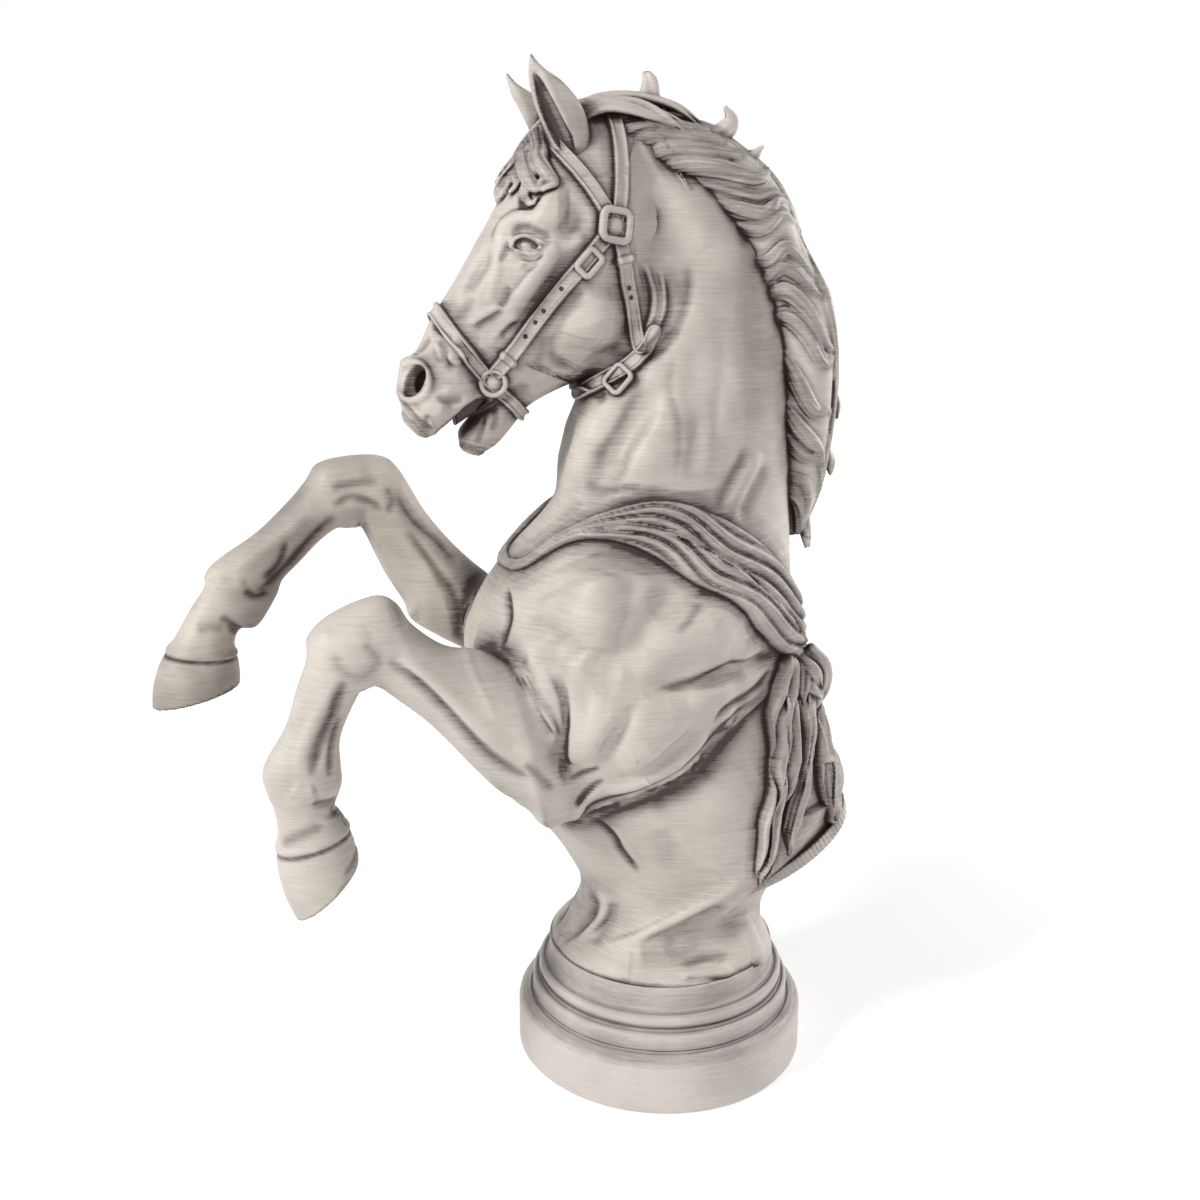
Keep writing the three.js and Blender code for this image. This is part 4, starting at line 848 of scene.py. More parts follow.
EYE_CORNERS, EYE_MIDDLE = pairs("512,246 526,244.5 543,246"), pairs("527,244.5")
# Lids: radius and pixels
LIDS = lines("""
    0.6 511,247 515,240.5 521,236.6 528,236.8 534,240.4 541,247;
    0.3 511,247 516,250.2 523,252 530,252 536,250 541,247""")
EYE_LINE = pairs("514,246 520,241 527,240.5 533,243 538,247")
EYE_SUNK, EYE_RADII = 1.45, (2.3, 2.2, 2.1)
NOSTRIL, NOSTRIL_SLANT = (413, 381), (0.35, 0, 1)
RIM_SIZE, RIM_ARC, RIM_RADIUS = (16, 19), (-2.1, 2.2), 0.75
NOSTRIL_RADII, NOSTRIL_DEPTH, DEEP_RADII = (3.1, 1.7, 2.5), 2.0, (2.3, 1.9, 1.5)
MOUTH = pairs("485,401 478,405 471,411 464,420 456,430 450,438")
MOUTH_GAP = [0.5, 0.9, 1.3, 1.6, 1.9, 2.2]
MOUTH_Y, MOUTH_ROOM, MOUTH_WASH, TONGUE, TONGUE_ROOT = -6.0, (3, 15), 0.9, 3.0, -8


def face(clay):
    """Eyes, nostrils and mouth."""
    def on_skin(pixels, smooth, height):
        return clay.settle(spline(clay.hit(pixels), smooth), height)

    clay.stroke(spline(clay.hit(EYE_CORNERS), 4), 1.0, 2.5, both=True, taper=0.3)
    middle = clay.hit(EYE_MIDDLE)
    clay.ball((middle - clay.normal_at(middle) * EYE_SUNK)[0], EYE_RADII, 0.2, both=True)
    for pixels, (radius,), _ in LIDS:
        clay.tube(on_skin(pixels, 4, 0.05), radius, 0.35, both=True)
    clay.stroke(on_skin(EYE_LINE, 4, 0), 0.25, 0.35, both=True, stain=0.5)
    rim = [(NOSTRIL[0] + RIM_SIZE[0] * math.cos(a), NOSTRIL[1] + RIM_SIZE[1] * math.sin(a))
           for a in np.linspace(*RIM_ARC, 12)]
    clay.tube(on_skin(rim, 3, -0.1), RIM_RADIUS, 0.9, both=True)
    hole = clay.hit([NOSTRIL])
    inwards = -clay.normal_at(hole)
    clay.ball((hole + inwards * 0.4)[0], NOSTRIL_RADII, 0.6, NOSTRIL_SLANT, cut=True, both=True)
    deep = hole + inwards * NOSTRIL_DEPTH + (1.1, 0, 0.3)
    clay.ball(deep[0], DEEP_RADII, 0.5, NOSTRIL_SLANT, cut=True, both=True)
    clay.stroke(np.vstack([deep, deep + (0.5, 0, 0.5)]), 0, 2.0, both=True, taper=0, stain=0.9)
    rays = np.array([sight(*pixel) for pixel in MOUTH])
    path = spline((CAMERA + rays * (MOUTH_Y - CAMERA[1]) / rays[:, 1:2])[:, (0, 2)], 6)
    gap = spline(np.array(MOUTH_GAP)[:, None], 6)[:, 0]
    room, aside = MOUTH_ROOM
    (low_x, low_z), (high_x, high_z) = path.min(0) - room, path.max(0) + room
    at, x, y, z = clay.block((low_x, -aside, low_z), (high_x, aside, high_z))
    near = np.full((x.size, 1, z.size), FAR)
    for (px, pz), radius in zip(path, gap):
        near = np.minimum(near, np.sqrt((x - px) ** 2 + (z - pz) ** 2) - radius)
    core = TONGUE - np.abs(y) + np.where(x < path[TONGUE_ROOT, 0], -TONGUE, 0)
    clay.merge(at, np.maximum(near + 0 * y, core), 0.3, cut=True)
    clay.stain[at] = np.maximum(clay.stain[at], MOUTH_WASH * np.clip(1 - np.maximum(near, 0) / 0.5, 0, 1))


SHOULDER, SHOULDER_FILLET = (-36, -22), (2.4, 4.0)
THROAT_FILLET, JAW_FILLET = 1.6, 0.8


def skin(box, step, bodies):
    """Field of the whole skin within a box: the bodies, joined with fillets and carved."""
    clay = Clay(*BOXES[box], step)
    clay.form("trunk", FORMS["trunk"])
    if "head" in bodies:
        clay.form("head", FORMS["head"], THROAT_FILLET)
        clay.form("jaw", FORMS["jaw"], JAW_FILLET)
    legs = [leg for leg in (("left", LEFT_LINES), ("right", RIGHT_LINES)) if leg[0] in bodies]
    for side, _ in legs:
        clay.form(side, FORMS[side], np.interp(clay.x, SHOULDER, SHOULDER_FILLET).astype(np.float32))
    mould(clay, "trunk", MASSES, MASS_EMPHASIS)
    fold_over(clay)
    if "head" in bodies:
        mould(clay, "head", HEAD_MASSES)
        carve(clay, "head", HEAD_LINES, 0.5)
    carve(clay, "trunk", TRUNK_LINES, 0.9)
    carve(clay, "trunk", NECK_LINES, 0.45)
    for leg in legs:
        carve_leg(clay, *leg)
    return clay


OVERLAP, SUNK, GAP = 0.8, 0.3, 0.3
# Groove over the hoof, and the ridge above it; their widths in rows of the leg
CORONET_DEPTH, CORONET_WIDTH, CORONET_WASH = 0.3, 0.06, 0.4
RIDGE_HEIGHT, RIDGE_ABOVE, RIDGE_WIDTH = 0.35, 0.2, 0.14
PEDESTAL_FILLET, PEDESTAL_UNDERSIDE = 3.5, -0.6
COLLAR_LINE = pairs("""
    -60,84 -44,84 -38,88 -32,92.5 -25,97 -16,99.5 -8,98.5 0,95.5 8,90 15,83 21,77 27,71 36,65 50,65""")


def parted(f, parting, overlap=OVERLAP):
    """The part of a body on one side of a parting; past it the surface sinks under its neighbour's."""
    return np.maximum(f + SUNK * np.clip(parting / overlap, 0, 1), parting - overlap)


def below_cut(clay):
    """Distance under the slanted cut through the belly, below 0 over it."""
    return (CUT_HEIGHT + CUT_SLOPE * clay.x - clay.z) / math.hypot(1, CUT_SLOPE)


def apart(clay, name, *others):
    """How much nearer the other bodies are than the named one."""
    return clay.raw[name] - np.minimum.reduce([clay.raw[other] for other in others])


head = skin("head", 0.3, ["head"])
face(head)
cast(head, "skin_head", "body", parted(head.f, apart(head, "head", "trunk", "jaw")),
     ["head", "left_eye", "right_eye"])
cast(head, "skin_jaw", "body", parted(head.f, apart(head, "jaw", "head", "trunk")), ["lower_jaw"])
trunk = skin("trunk", 0.45, ["head", "left", "right"])
trunk_alone = trunk.f
trunk.f = blend(both_in(trunk.f, below_cut(trunk)), twisted(trunk), PEDESTAL_FILLET)
carve(trunk, "pedestal", PEDESTAL_LINES, 0.3)
trunk_whole = parted(trunk.f, apart(trunk, "trunk", "head", "jaw", "left", "right"))
parting = np.interp(trunk.x, *spline(COLLAR_LINE, 6).T) - trunk.z
cast(trunk, "skin_neck", "body", parted(trunk_whole, parting))
cast(trunk, "skin_torso", "body", parted(parted(trunk_whole, -parting), below_cut(trunk)))
cast(trunk, "print_pedestal", "body",
     both_in(parted(trunk.f, -below_cut(trunk)), PEDESTAL_UNDERSIDE - trunk.z), slot="base_print")
trunk.f = trunk_alone
for side, look in (("left", "body"), ("right", "far")):
    leg = skin(side, 0.36, [side])
    row = leg.raw[side + " row"][:, None, :]
    coronet = bell(row - CORONET_ROW, CORONET_WIDTH)
    leg.f += CORONET_DEPTH * coronet - RIDGE_HEIGHT * bell(row - CORONET_ROW + RIDGE_ABOVE, RIDGE_WIDTH)
    whole = parted(leg.f, apart(leg, side, "trunk"))
    leg.stain = np.maximum(leg.stain, CORONET_WASH * coronet)
    for part, low, high, slot in (("upper_leg", -1, KNEE_ROW, "body_print"),
                                  ("lower_leg", KNEE_ROW, HOOF_ROW, "body_print"),
                                  ("hoof", HOOF_ROW, LAST_ROW, "hoof_print")):
        wall = np.maximum(low - row, row - high) * ROW_LENGTH
        cast(leg, f"skin_{side}_{part}", look, parted(whole, wall, 2 * OVERLAP), slot=slot)

# Ears: the far one nods forward

EAR_ROWS = "-26.5 163 -18 164 0.5; -27 169.5 -18.8 170.5 0.56; -29.3 175 -20.5 175 0.5; "
EAR_TIPS = {"left": "-30.4 179 -24.3 179 0.36; -30.5 181.4 -28 181.2 0.2; -30.3 183.2 -29.7 183.1 0.07",
            "right": "-30.9 178 -26 178 0.36; -31.6 180.2 -29.6 180 0.2; -32 181.8 -31.4 181.7 0.07"}
EAR_LEAN = np.array(pairs("164,5.1 170,6 175,6.9 179,7.5 182.5,7.8"))
EAR_WIDTH = 10.5
EAR_CUP = pairs("534,74 539,84 544,98 550,112 557,127 564,140 570,150")
EAR_CUP_SIZE = [0.2, 0.8, 1.4, 1.75, 1.85, 1.6, 0.9]
EAR_RIM = pairs("537,60 547,80 555,98 564,116 574,136")
SIDES = (("left", -1), ("right", 1))

groove = None
for name, side in SIDES:
    ear = Clay((-34, min(2 * side, 13 * side), 161), (-15, max(2 * side, 13 * side), 185), 0.22)
    ear.form("ear", Form(rows(EAR_ROWS + EAR_TIPS[name]), EAR_WIDTH, EAR_LEAN * (1, side), 0.9, (1, 0.3)))
    if groove is None:
        groove = spline(ear.hit(EAR_CUP), 4) * (1, -1, 1)
        rim = ear.settle(spline(ear.hit(EAR_RIM), 4), 0) * (1, -1, 1)
    ear.tube(groove * (1, side, 1), spline(np.array(EAR_CUP_SIZE)[:, None], 4)[:, 0], 0.35, cut=True)
    ear.stroke(rim * (1, side, 1), -0.45, 0.7)
    ear.stroke(groove * (1, side, 1) + (0, -side * 0.9, 0), 0, 1.2, stain=0.45)
    cast(ear, f"print_{name}_ear", "body")

# Hair

TRESS_CLOSE, TRESS_LIFT, TRESS_TURNS = 0.75, 0.3, (0.6, 1.2)
COMB_SPREAD, COMB_WAVE, COMB_DEPTH, COMB_WIDTH, COMB_WASH = 0.62, 0.12, 0.55, 0.34, 0.25


def tress(clay, line, out, count, spread, radius, k=0.3, waves=0.3):
    """Strands of hair side by side along a line; they wave, and come together at its end."""
    line = spline(line, 6)
    across = unit(np.cross(np.gradient(line, axis=0), out))
    share = np.linspace(0, 1, len(line))
    for place in np.linspace(-1, 1, count):
        phase, turns = rng.uniform(0, 2 * math.pi), rng.uniform(*TRESS_TURNS)
        angle = 2 * math.pi * turns * share + phase
        shift = place * spread * (1 - TRESS_CLOSE * share**2) + waves * spread * np.sin(angle)
        lift = TRESS_LIFT * spread * np.cos(angle)
        size = radius * rng.uniform(0.8, 1.15) * np.clip(1.15 - share**3, 0.25, 1)
        clay.tube(line + across * shift[:, None] + np.array(out) * lift[:, None], size, k)


def lock(clay, line, out, radius, tip, grooves=3, both=False, root=1.0):
    """Thick lock of hair along a line, combed into strands by grooves."""
    share = np.linspace(0, 1, len(line))
    size = radius * np.minimum(1 - (1 - tip) * share**1.6, root + (1 - root) * 4 * share)
    clay.tube(line, size, 0.3, both)
    across = unit(np.cross(np.gradient(line, axis=0), out))
    for place in np.linspace(-COMB_SPREAD, COMB_SPREAD, grooves):
        wave = place + COMB_WAVE * np.sin(2 * math.pi * share + rng.uniform(0, 6))
        groove = line + across * (wave * size)[:, None] + out * (size * math.sqrt(1 - place**2))[:, None]
        clay.stroke(groove, COMB_DEPTH, COMB_WIDTH, both, taper=0.1, stain=COMB_WASH)


# Locks of the forelock: radius, share of it at the tip, pixels
FORELOCK = lines("""
    1.9 0.28 520,140 514,156 514,170 519,182 513,193;
    1.5 0.3 511,156 504,172 499,186 504,197;
    1.2 0.35 529,186 525,196 531,204 541,203;
    2.3 0.28 529,132 529,150 527,166 530,180 537,189 542,183;
    2.2 0.32 539,134 542,150 540,163 547,175 554,185 546,192""")
CROWN = np.array([(-13, 0, 174.5), (-20, 0, 174), (-26, 0, 170.5), (-31, 0, 165.5), (-34.5, 0, 160.5)])
forelock = Clay((-40, -13, 150), (-10, 13, 178), 0.26)
for pixels, (radius, tip), _ in FORELOCK:
    points = head.settle(drawn("head", pixels, 5), 0.5)
    lock(forelock, points, head.normal_at(points), radius, tip, 4, both=True)
forelock.tube(head.settle(spline(CROWN, 5), -1.2), 3.2, 1.0)
tress(forelock, head.settle(spline(CROWN, 2), 1.4), (-0.7, 0, 0.7), 8, 3.4, 0.75, 0.15)
cast(forelock, "hair_forelock", "hair")

mane_line = FORMS["mane"].line[len(Form.CAP_SHARES):-len(Form.CAP_SHARES)]


def on_mane(u, s, side, lift):
    """Points on the flank of the mane: row, place across it and height over it."""
    e = np.column_stack([np.interp(u, mane_line[:, 6], mane_line[:, i]) for i in range(5)])
    flat = (e[:, :2] + e[:, 2:4]) / 2 + (e[:, 2:4] - e[:, :2]) / 2 * s[:, None]
    wide = np.maximum(e[:, 4], 0.3) * np.clip(1 - s**2, 0, 1) ** 0.45
    return np.column_stack([flat[:, 0], side * (wide + lift), flat[:, 1]])


def past(row):
    """Distance past a row of the mane, towards its lower end."""
    ex, ez = row[2] - row[0], row[3] - row[1]
    return (ez * (mane.x - row[0]) - ex * (mane.z - row[1])) / math.hypot(ex, ez)


LOCKS, LOCK_SLOPES = 17, [2.9, 2.6, 2.2, 2.1, 2.4, 1.6]
FIRST_LOCK, LOCKS_SPAN, MANE_ROWS_END = -1.6, 11.4, 11  # in rows of the mane
ROPE_ROWS, CREST_ROWS = (5.5, 10.9, 40), (0.2, 10.8, 60)  # first, last and count of points
CREST_LOCKS = ((-2.2, 1.9), (2.2, 1.9), (0, 2.3))  # place aside and radius
mane = Clay(*BOXES["mane"], 0.32)
mane.form("mane", FORMS["mane"])


def mane_lock(line, ahead, *measures, **root):
    """Lock on the mane, whose outward direction is read at points beside it."""
    lock(mane, line, mane.normal_at(ahead, mane.raw["mane"]), *measures, **root)


t = np.linspace(0, 1, 26)
for side in (-1, 1):
    for i in rng.permutation(LOCKS):
        start = FIRST_LOCK + LOCKS_SPAN * i / (LOCKS - 1) + rng.uniform(-0.12, 0.12)
        slope = np.interp(start, [0, 2, 4, 6, 8, 10], LOCK_SLOPES) * rng.uniform(0.85, 1.15)
        bend, phase = rng.uniform(0.16, 0.3), 0.9 * i + rng.uniform(-0.6, 0.6)
        u = start + slope * t + bend * np.sin(2 * math.pi * t * 1.15 + phase)
        s = -0.93 + rng.uniform(1.88, 1.98) * t**0.95
        lift = -0.7 + rng.uniform(0, 1.2) * np.sin(math.pi * t)
        points = on_mane(u.clip(0, MANE_ROWS_END), s, side, lift)[u > -0.05]
        mane_lock(points, points, rng.uniform(1.9, 2.4), 0.35, 4, root=0.5)
    u = np.linspace(*ROPE_ROWS)
    rope = on_mane(u, 0.86 + 0.05 * np.sin(2.5 * u), side, -0.3)
    mane_lock(rope, rope, 1.7, 0.4, 3, root=0.3)
for aside, radius in CREST_LOCKS:
    u = np.linspace(*CREST_ROWS)
    crest = on_mane(u, np.full_like(u, 0.99), 1, 0)
    crest[:, 1] = aside + 0.9 * np.sin(2.2 * u + aside)
    crest -= mane.normal_at(crest * (1, 0, 1), mane.raw["mane"]) * (0.9 + 0.5 * abs(aside))
    mane_lock(crest, crest * (1, 0, 1), radius, 0.4, 3, root=0.5)
POLL = [
    [(-21, -3.5, 172.6), (-16, -4.5, 175.2), (-10, -5, 175.5), (-4, -5.5, 173.8), (1, -6, 171)],
    [(-22, -1.2, 173.5), (-15, -1.6, 176.6), (-8, -2, 177.4), (-1, -2.6, 176.2), (4, -3, 173)],
    [(-21, 1.5, 173.5), (-15, 1.8, 176.4), (-8, 2, 177.2), (-1, 2.4, 176), (4, 3, 173)],
    [(-21, 3.8, 172.6), (-16, 4.5, 175), (-10, 5, 175.4), (-4, 5.5, 173.6), (1, 6, 171)],
]
for line in POLL:
    tress(mane, line, (0, line[2][1] / 6, 0.8), 4, 1.3, 0.85, 0.25, waves=0.5)
# Curls that stand off the crest: radius, then x and z in millimetres
CURLS = lines("""
    2.4 -12,170 -9.5,172.3 -7.2,174.6 -6.2,177 -6,180 -6.6,182;
    1.9 1,168 5,169.8 8.8,171.3 10.8,173.6 9.4,176.2;
    1.8 9,163.5 12.3,165 15.3,167 17.6,169.2;
    1.4 23.5,142 26.5,145.5 28.8,147.8;
    1.5 20,153 22.6,154.2 25.4,153.6;
    1.6 27,140 30.5,139.6 33.2,137;
    1.7 29.5,132.5 33.2,131.4 35.6,128;
    1.7 31,122 34.6,119.5 36.2,115.5;
    1.6 31,111 34.4,107.5 35.4,103.5;
    2 24,104 28,97 30,92.5 31,88""")
for curl, (radius,), _ in CURLS:
    tress(mane, [(x, -1.5, z) for x, z in curl], (0, -1, 0), 4, radius * 0.62, radius * 0.5, waves=0.2)
upper, lower = (past(mane_line[np.abs(mane_line[:, 6] - row).argmin()]) for row in (4, 8))
cast(mane, "hair_upper_mane", "hair", parted(mane.f, upper))
cast(mane, "hair_middle_mane", "hair", parted(parted(mane.f, -upper), lower))
cast(mane, "hair_lower_mane", "hair", parted(mane.f, -lower))

# Halter

BAND_THICK, BAND_RIM, BAND_BED = 1.0, 0.28, 0.5


def band_on_head(node, line, width, holes=(), loops=()):
    """Strap lying on the head along a line, with raised rims, holes, and keepers round it."""
    line = evenly(line, 24)
    for _ in range(4):
        line[1:-1] = (line[:-2] + 2 * line[1:-1] + line[2:]) / 4
        line = head.settle(line, BAND_BED)
    line = spline(line, 3)
    clay = Clay(line.min(0) - width, line.max(0) + width, 0.2)
    at, away, place, _ = clay.near_line(line, 1.0, width / 2 + BAND_THICK + 1.2)
    height = clay.resample(head)[at]
    side = np.sqrt(np.maximum(away**2 - (height - BAND_BED) ** 2, 0))
    length = travelled(line)[-1]
    keeper = sum(np.exp(-((place - share) * length / 0.75) ** 4) for share in loops)
    top = BAND_THICK - BAND_RIM * 0.6 + BAND_RIM * 1.4 * bell(side - width / 2 + 0.42, 0.3) + 0.75 * keeper
    solid = both_in(both_in(height - top, side - width / 2 - 0.35 * keeper, 0.25), -height - BAND_BED)
    clay.f[at] = np.minimum(solid, FAR)
    for share in holes:
        spot = line[int(share * (len(line) - 1))]
        clay.ball(spot + head.normal_at(spot[None])[0] * 0.5, (0.42, 0.7, 0.42), 0.1, cut=True)
    cast(clay, "print_" + node, "halter")


def over(points):
    """Line from one side of the head over the edge of the elevation to the other; it starts at that edge."""
    left = head.flank(spline(points, 3))
    right = (left * (1, -1, 1))[::-1]
    return np.vstack([right[:-1], [left[0] * (1, 0, 1)], left[1:]])


def fitting(node, pixel, shapes, side, tilt=10):
    """Ring, buckle or keeper that stands on the halter round a pixel of the photograph's view."""
    spot = head.settle(head.hit([pixel]), 0.9)
    out = head.normal_at(spot)[0]
    spot = spot[0]
    ahead = head.settle(head.hit([(pixel[0] + tilt, pixel[1] - 12)]), 0.9)[0] - spot
    ahead = ahead - out * (ahead @ out)
    spot, out, ahead = (v * (1, -side, 1) for v in (spot, out, ahead))
    clay = Clay(spot - 6.5, spot + 6.5, 0.18)
    for shape in shapes:
        clay.ring(spot, out, ahead, **shape)
    cast(clay, "print_" + node, "halter")


NOSE_POINT, CHEEK_POINT = (-38.4, 124.8), (-15, 153.6)
BROW = head.hit([(554, 146), (566, 160), (582, 175)])[:, (0, 2)].tolist()
NOSE_RING = [dict(radius=2.3, bar=1.25), dict(radius=0, bar=4.4, drop=1.5)]
CHEEK_RING = [dict(radius=2.7, bar=1.7, square=True), dict(radius=0, bar=6.0, drop=2.3)]
KEEPER = [dict(radius=1.5, bar=1.3, square=True, wide=1.5)]
BUCKLE = [dict(radius=1.9, bar=1.1, square=True, wide=1.25), dict(radius=0, bar=1.5, drop=0.3)]

band_on_head("noseband", over([(-47.5, 138), (-46.5, 135.8), (-44.4, 132), (-41.6, 128.5), NOSE_POINT]), 3.1)
band_on_head("chin_strap", over([(-33, 119.5), (-35, 121.5), NOSE_POINT]), 2.6)
band_on_head("brow_band", over([(-25.5, 171.8), *BROW, CHEEK_POINT]), 3.0)
band_on_head("crown_strap", over([(-14, 174.6), (-13.2, 168.9), (-13.7, 158.3), CHEEK_POINT]), 3.0)
for name, side in SIDES:
    cheek = spline([NOSE_POINT, (-33, 131.6), (-27.2, 139), (-21.4, 146.4), CHEEK_POINT], 3)
    jaw = spline([(-14.3, 151.5), (-13.2, 147), (-11.5, 139.9), (-9.6, 131)], 3)
    band_on_head(name + "_cheek_strap", head.flank(cheek, side), 3.1, (0.3, 0.38, 0.46, 0.6), (0.15,))
    band_on_head(name + "_jaw_strap", head.flank(jaw, side), 3.0, (0.45, 0.55), (0.2,))
THROAT = [(-19.5, 121), (-17, 123.8), (-13.9, 125.9), (-9.9, 128.7), (-6.4, 133.4)]
band_on_head("throat_collar", over(THROAT), 3.2, loops=(0.14, 0.3))
for name, side in SIDES:
    fitting(name + "_nose_ring", (493, 382), NOSE_RING, side)
    fitting(name + "_cheek_ring", (613.5, 226), CHEEK_RING, side, tilt=1)
    fitting(name + "_keeper", (588, 263), KEEPER, side)
fitting("collar_buckle", (619, 379), BUCKLE, -1)

# Cloth

CLOTH_BED, CLOTH_UNDER = 0.6, 0.7
FRONT_SHARE = 0.13  # of the sash, where it narrows and thins towards the chest


def sheet(clay, first, second, thick, ridges, amount, loop=False, sway=0.3):
    """Folded cloth on the trunk between two edges drawn in pixels: round ridges between sharp valleys."""
    edges = [evenly(rough["trunk"].hit(e), 40) for e in (first, second)]
    if loop:
        edges = [np.vstack([e, (e * (1, -1, 1))[::-1], e[:1]]) for e in edges]
    line = trunk.settle((edges[0] + edges[1]) / 2, CLOTH_BED)
    for _ in range(4 if loop else 0):
        ring = line[:-1]
        ring = trunk.settle((np.roll(ring, 1, 0) + 2 * ring + np.roll(ring, -1, 0)) / 4, CLOTH_BED)
        line = np.vstack([ring, ring[:1]])
    wide = np.maximum(np.linalg.norm(edges[0] - edges[1], axis=1) / 2, 0.8)
    at, away, place, hand = clay.near_line(line, 1.0, wide.max() + thick + 1.5)
    gone = travelled(line)
    front = fade(place, FRONT_SHARE if loop else 0)
    half = np.interp(place, gone / gone[-1], wide) * (0.38 + 0.62 * front)
    height = clay.resample(trunk)[at]
    side = hand * np.sqrt(np.maximum(away**2 - (height - CLOTH_BED) ** 2, 0)) / half
    along = 2 * math.pi * (np.abs(2 * place - 1) if loop else place)
    drift = sway * np.sin(1.5 * along + 1.0) + 0.12 * np.sin(3.7 * along)
    crest = np.abs(np.cos(math.pi / 2 * (side * ridges + drift * ridges))) ** 0.7
    second_crest = np.abs(np.cos(math.pi / 2 * (side * (ridges * 2 + 1) - drift * 3 + 1)))
    edge = np.clip(1 - side**4, 0, 1)
    relief = amount * np.clip(half / ridges, 0.1, 1) * (crest + 0.08 * second_crest) * (0.6 + 0.4 * edge)
    top = (thick * (0.45 + 0.3 * edge) + relief) * (0.3 + 0.7 * front)
    solid = both_in(both_in((height - top) * 0.8, (np.abs(side) - 1) * half, 0.5), -height - CLOTH_UNDER)
    clay.f[at] = np.minimum(solid, FAR)


SASH_TOP = pairs("""
    519,563 540,553 552,540 581,524 622,509 654,501 683,505 720,522 744,538 775,567 790,592 799,618""")
SASH_FOOT = pairs("""
    503,590 513,581 528,566 567,544 601,541 632,547 662,559 687,574 713,592 744,613 765,637 785,655
    799,668""")
collar = Clay((-47, -31, 55), (42, 31, 105), 0.34)
sheet(collar, SASH_TOP, SASH_FOOT, 1.9, 5, 1.3, loop=True, sway=0.18)
cast(collar, "print_cloth_collar", "cloth")

knot = Clay((20, -19, 50), (38, 1, 72), 0.25)
knot.ball((28.5, -9.5, 63.5), (3.5, 4.0, 4.2), 0.6)
knot.ball((31, -8, 57.5), (2.3, 2.7, 4.4), 0.8)
for line, radius in (([(25, -12.5, 67), (28, -14, 64), (31, -12, 60)], 1.0),
                     ([(24.5, -11, 63), (28, -13.5, 60.5), (31.5, -11.5, 57)], 0.9),
                     ([(28, -12, 68), (31.5, -12, 64.5), (33, -9.5, 59), (32, -8, 54)], 1.1),
                     ([(26, -13, 65.5), (26.2, -14, 61), (27, -13, 56)], 0.9)):
    tress(knot, line, (0, -1, 0), 2, 0.7, radius)
cast(knot, "print_cloth_knot", "cloth")

# Tails: thickness, ridges and their height, then both edges
TAILS = [
    (1.6, 2, 1.7,
     "776,668 766,700 768,743 765,764 761,799 754,820 754,841 751,869 756,880",
     "791,668 792,713 795,750 796,762 787,785 777,802 775,841 768,865 760,880"),
    (1.7, 1, 1.8,
     "792,672 797,722 797,740 794,759 790,785 782,806 778,830 783,850",
     "803,672 808,722 808,745 805,765 801,790 796,810 789,832 788,850"),
    (1.8, 1, 1.9,
     "806,690 810,722 811,745 812,764 815,790 822,806 824,816",
     "816,690 822,722 827,745 830,765 831,790 832,806 831,814"),
]
for i, (thick, ridges, amount, *edges) in enumerate(TAILS, 1):
    first, second = map(pairs, edges)
    edge = rough["trunk"].hit(first + second)
    tail = Clay(edge.min(0) - 5, edge.max(0) + 5, 0.26)
    sheet(tail, first, second, thick, ridges, amount, sway=0.45)
    cast(tail, f"print_cloth_tail_{i}", "cloth")

HEM_START, HEM_END, HEM_BED = -14, 45, 0.5
GRAIN_PITCH, GRAIN_DEPTH, GRAIN_SLANT = 5.0, 0.1, 0.6
HEM_TAPER, LIP, HEM_HEIGHT = [-14, 0, 12, 22, 40], [0.4, 0.7, 1.0, 1.7, 2.0], [1.0, 1.3, 1.6, 2.6, 2.8]
hem = Clay((HEM_START - 2, -31, 4), (HEM_END, 31, 33), 0.36)
over_trunk, below = hem.resample(trunk), below_cut(hem)
lip, band_height = (np.interp(hem.x, HEM_TAPER, sizes) for sizes in (LIP, HEM_HEIGHT))
lip = lip - 0.5 * np.clip(-below / band_height, 0, 1)
grain = np.sin((hem.x + hem.z * GRAIN_SLANT) * GRAIN_PITCH) * GRAIN_DEPTH
hem.f = both_in(over_trunk - lip + grain, -over_trunk - HEM_BED, 0.2)
hem.f = both_in(hem.f, both_in(below - GAP, -below - band_height), 0.3)
hem.f = both_in(hem.f, HEM_START - hem.x)
cast(hem, "print_hem", "cloth")

# Base: radius and height of each tier's profile

TURNED = {
    "base_plinth": """0,-25 31.7,-25 32,-24.7 32,-15.6 31.8,-14.6 31.2,-13.7 30.4,-13.1 29.6,-12.85 29.3,-12.8
        29.2,-13.1 28.95,-13.1 28.8,-12.5 0,-12.5""",
    "base_step": """0,-12.5 28.5,-12.5 28.8,-12.2 28.8,-9.3 28.55,-8.8 28.2,-8.6 27.9,-8.6 27.8,-8.9
        27.5,-8.9 27.4,-8.3 0,-8.3""",
    "base_bead": """0,-8.3 26.6,-8.3 27.1,-7.9 27.4,-7.2 27.4,-6.3 27.1,-5.6 26.7,-5.3 26.3,-5.3 26.2,-5.6
        25.9,-5.6 25.8,-5.1 0,-5.1""",
    "base_drum": """0,-5.1 25.7,-5.1 25.35,-4.9 25.1,-4.4 25,-3.6 25,-0.1 24.9,0 0,0""",
}
SEGMENTS, CRISP = 180, 0.06
SEAM, SEAM_HEIGHT, SEAM_WIDTH = math.radians(285), 0.18, 0.012


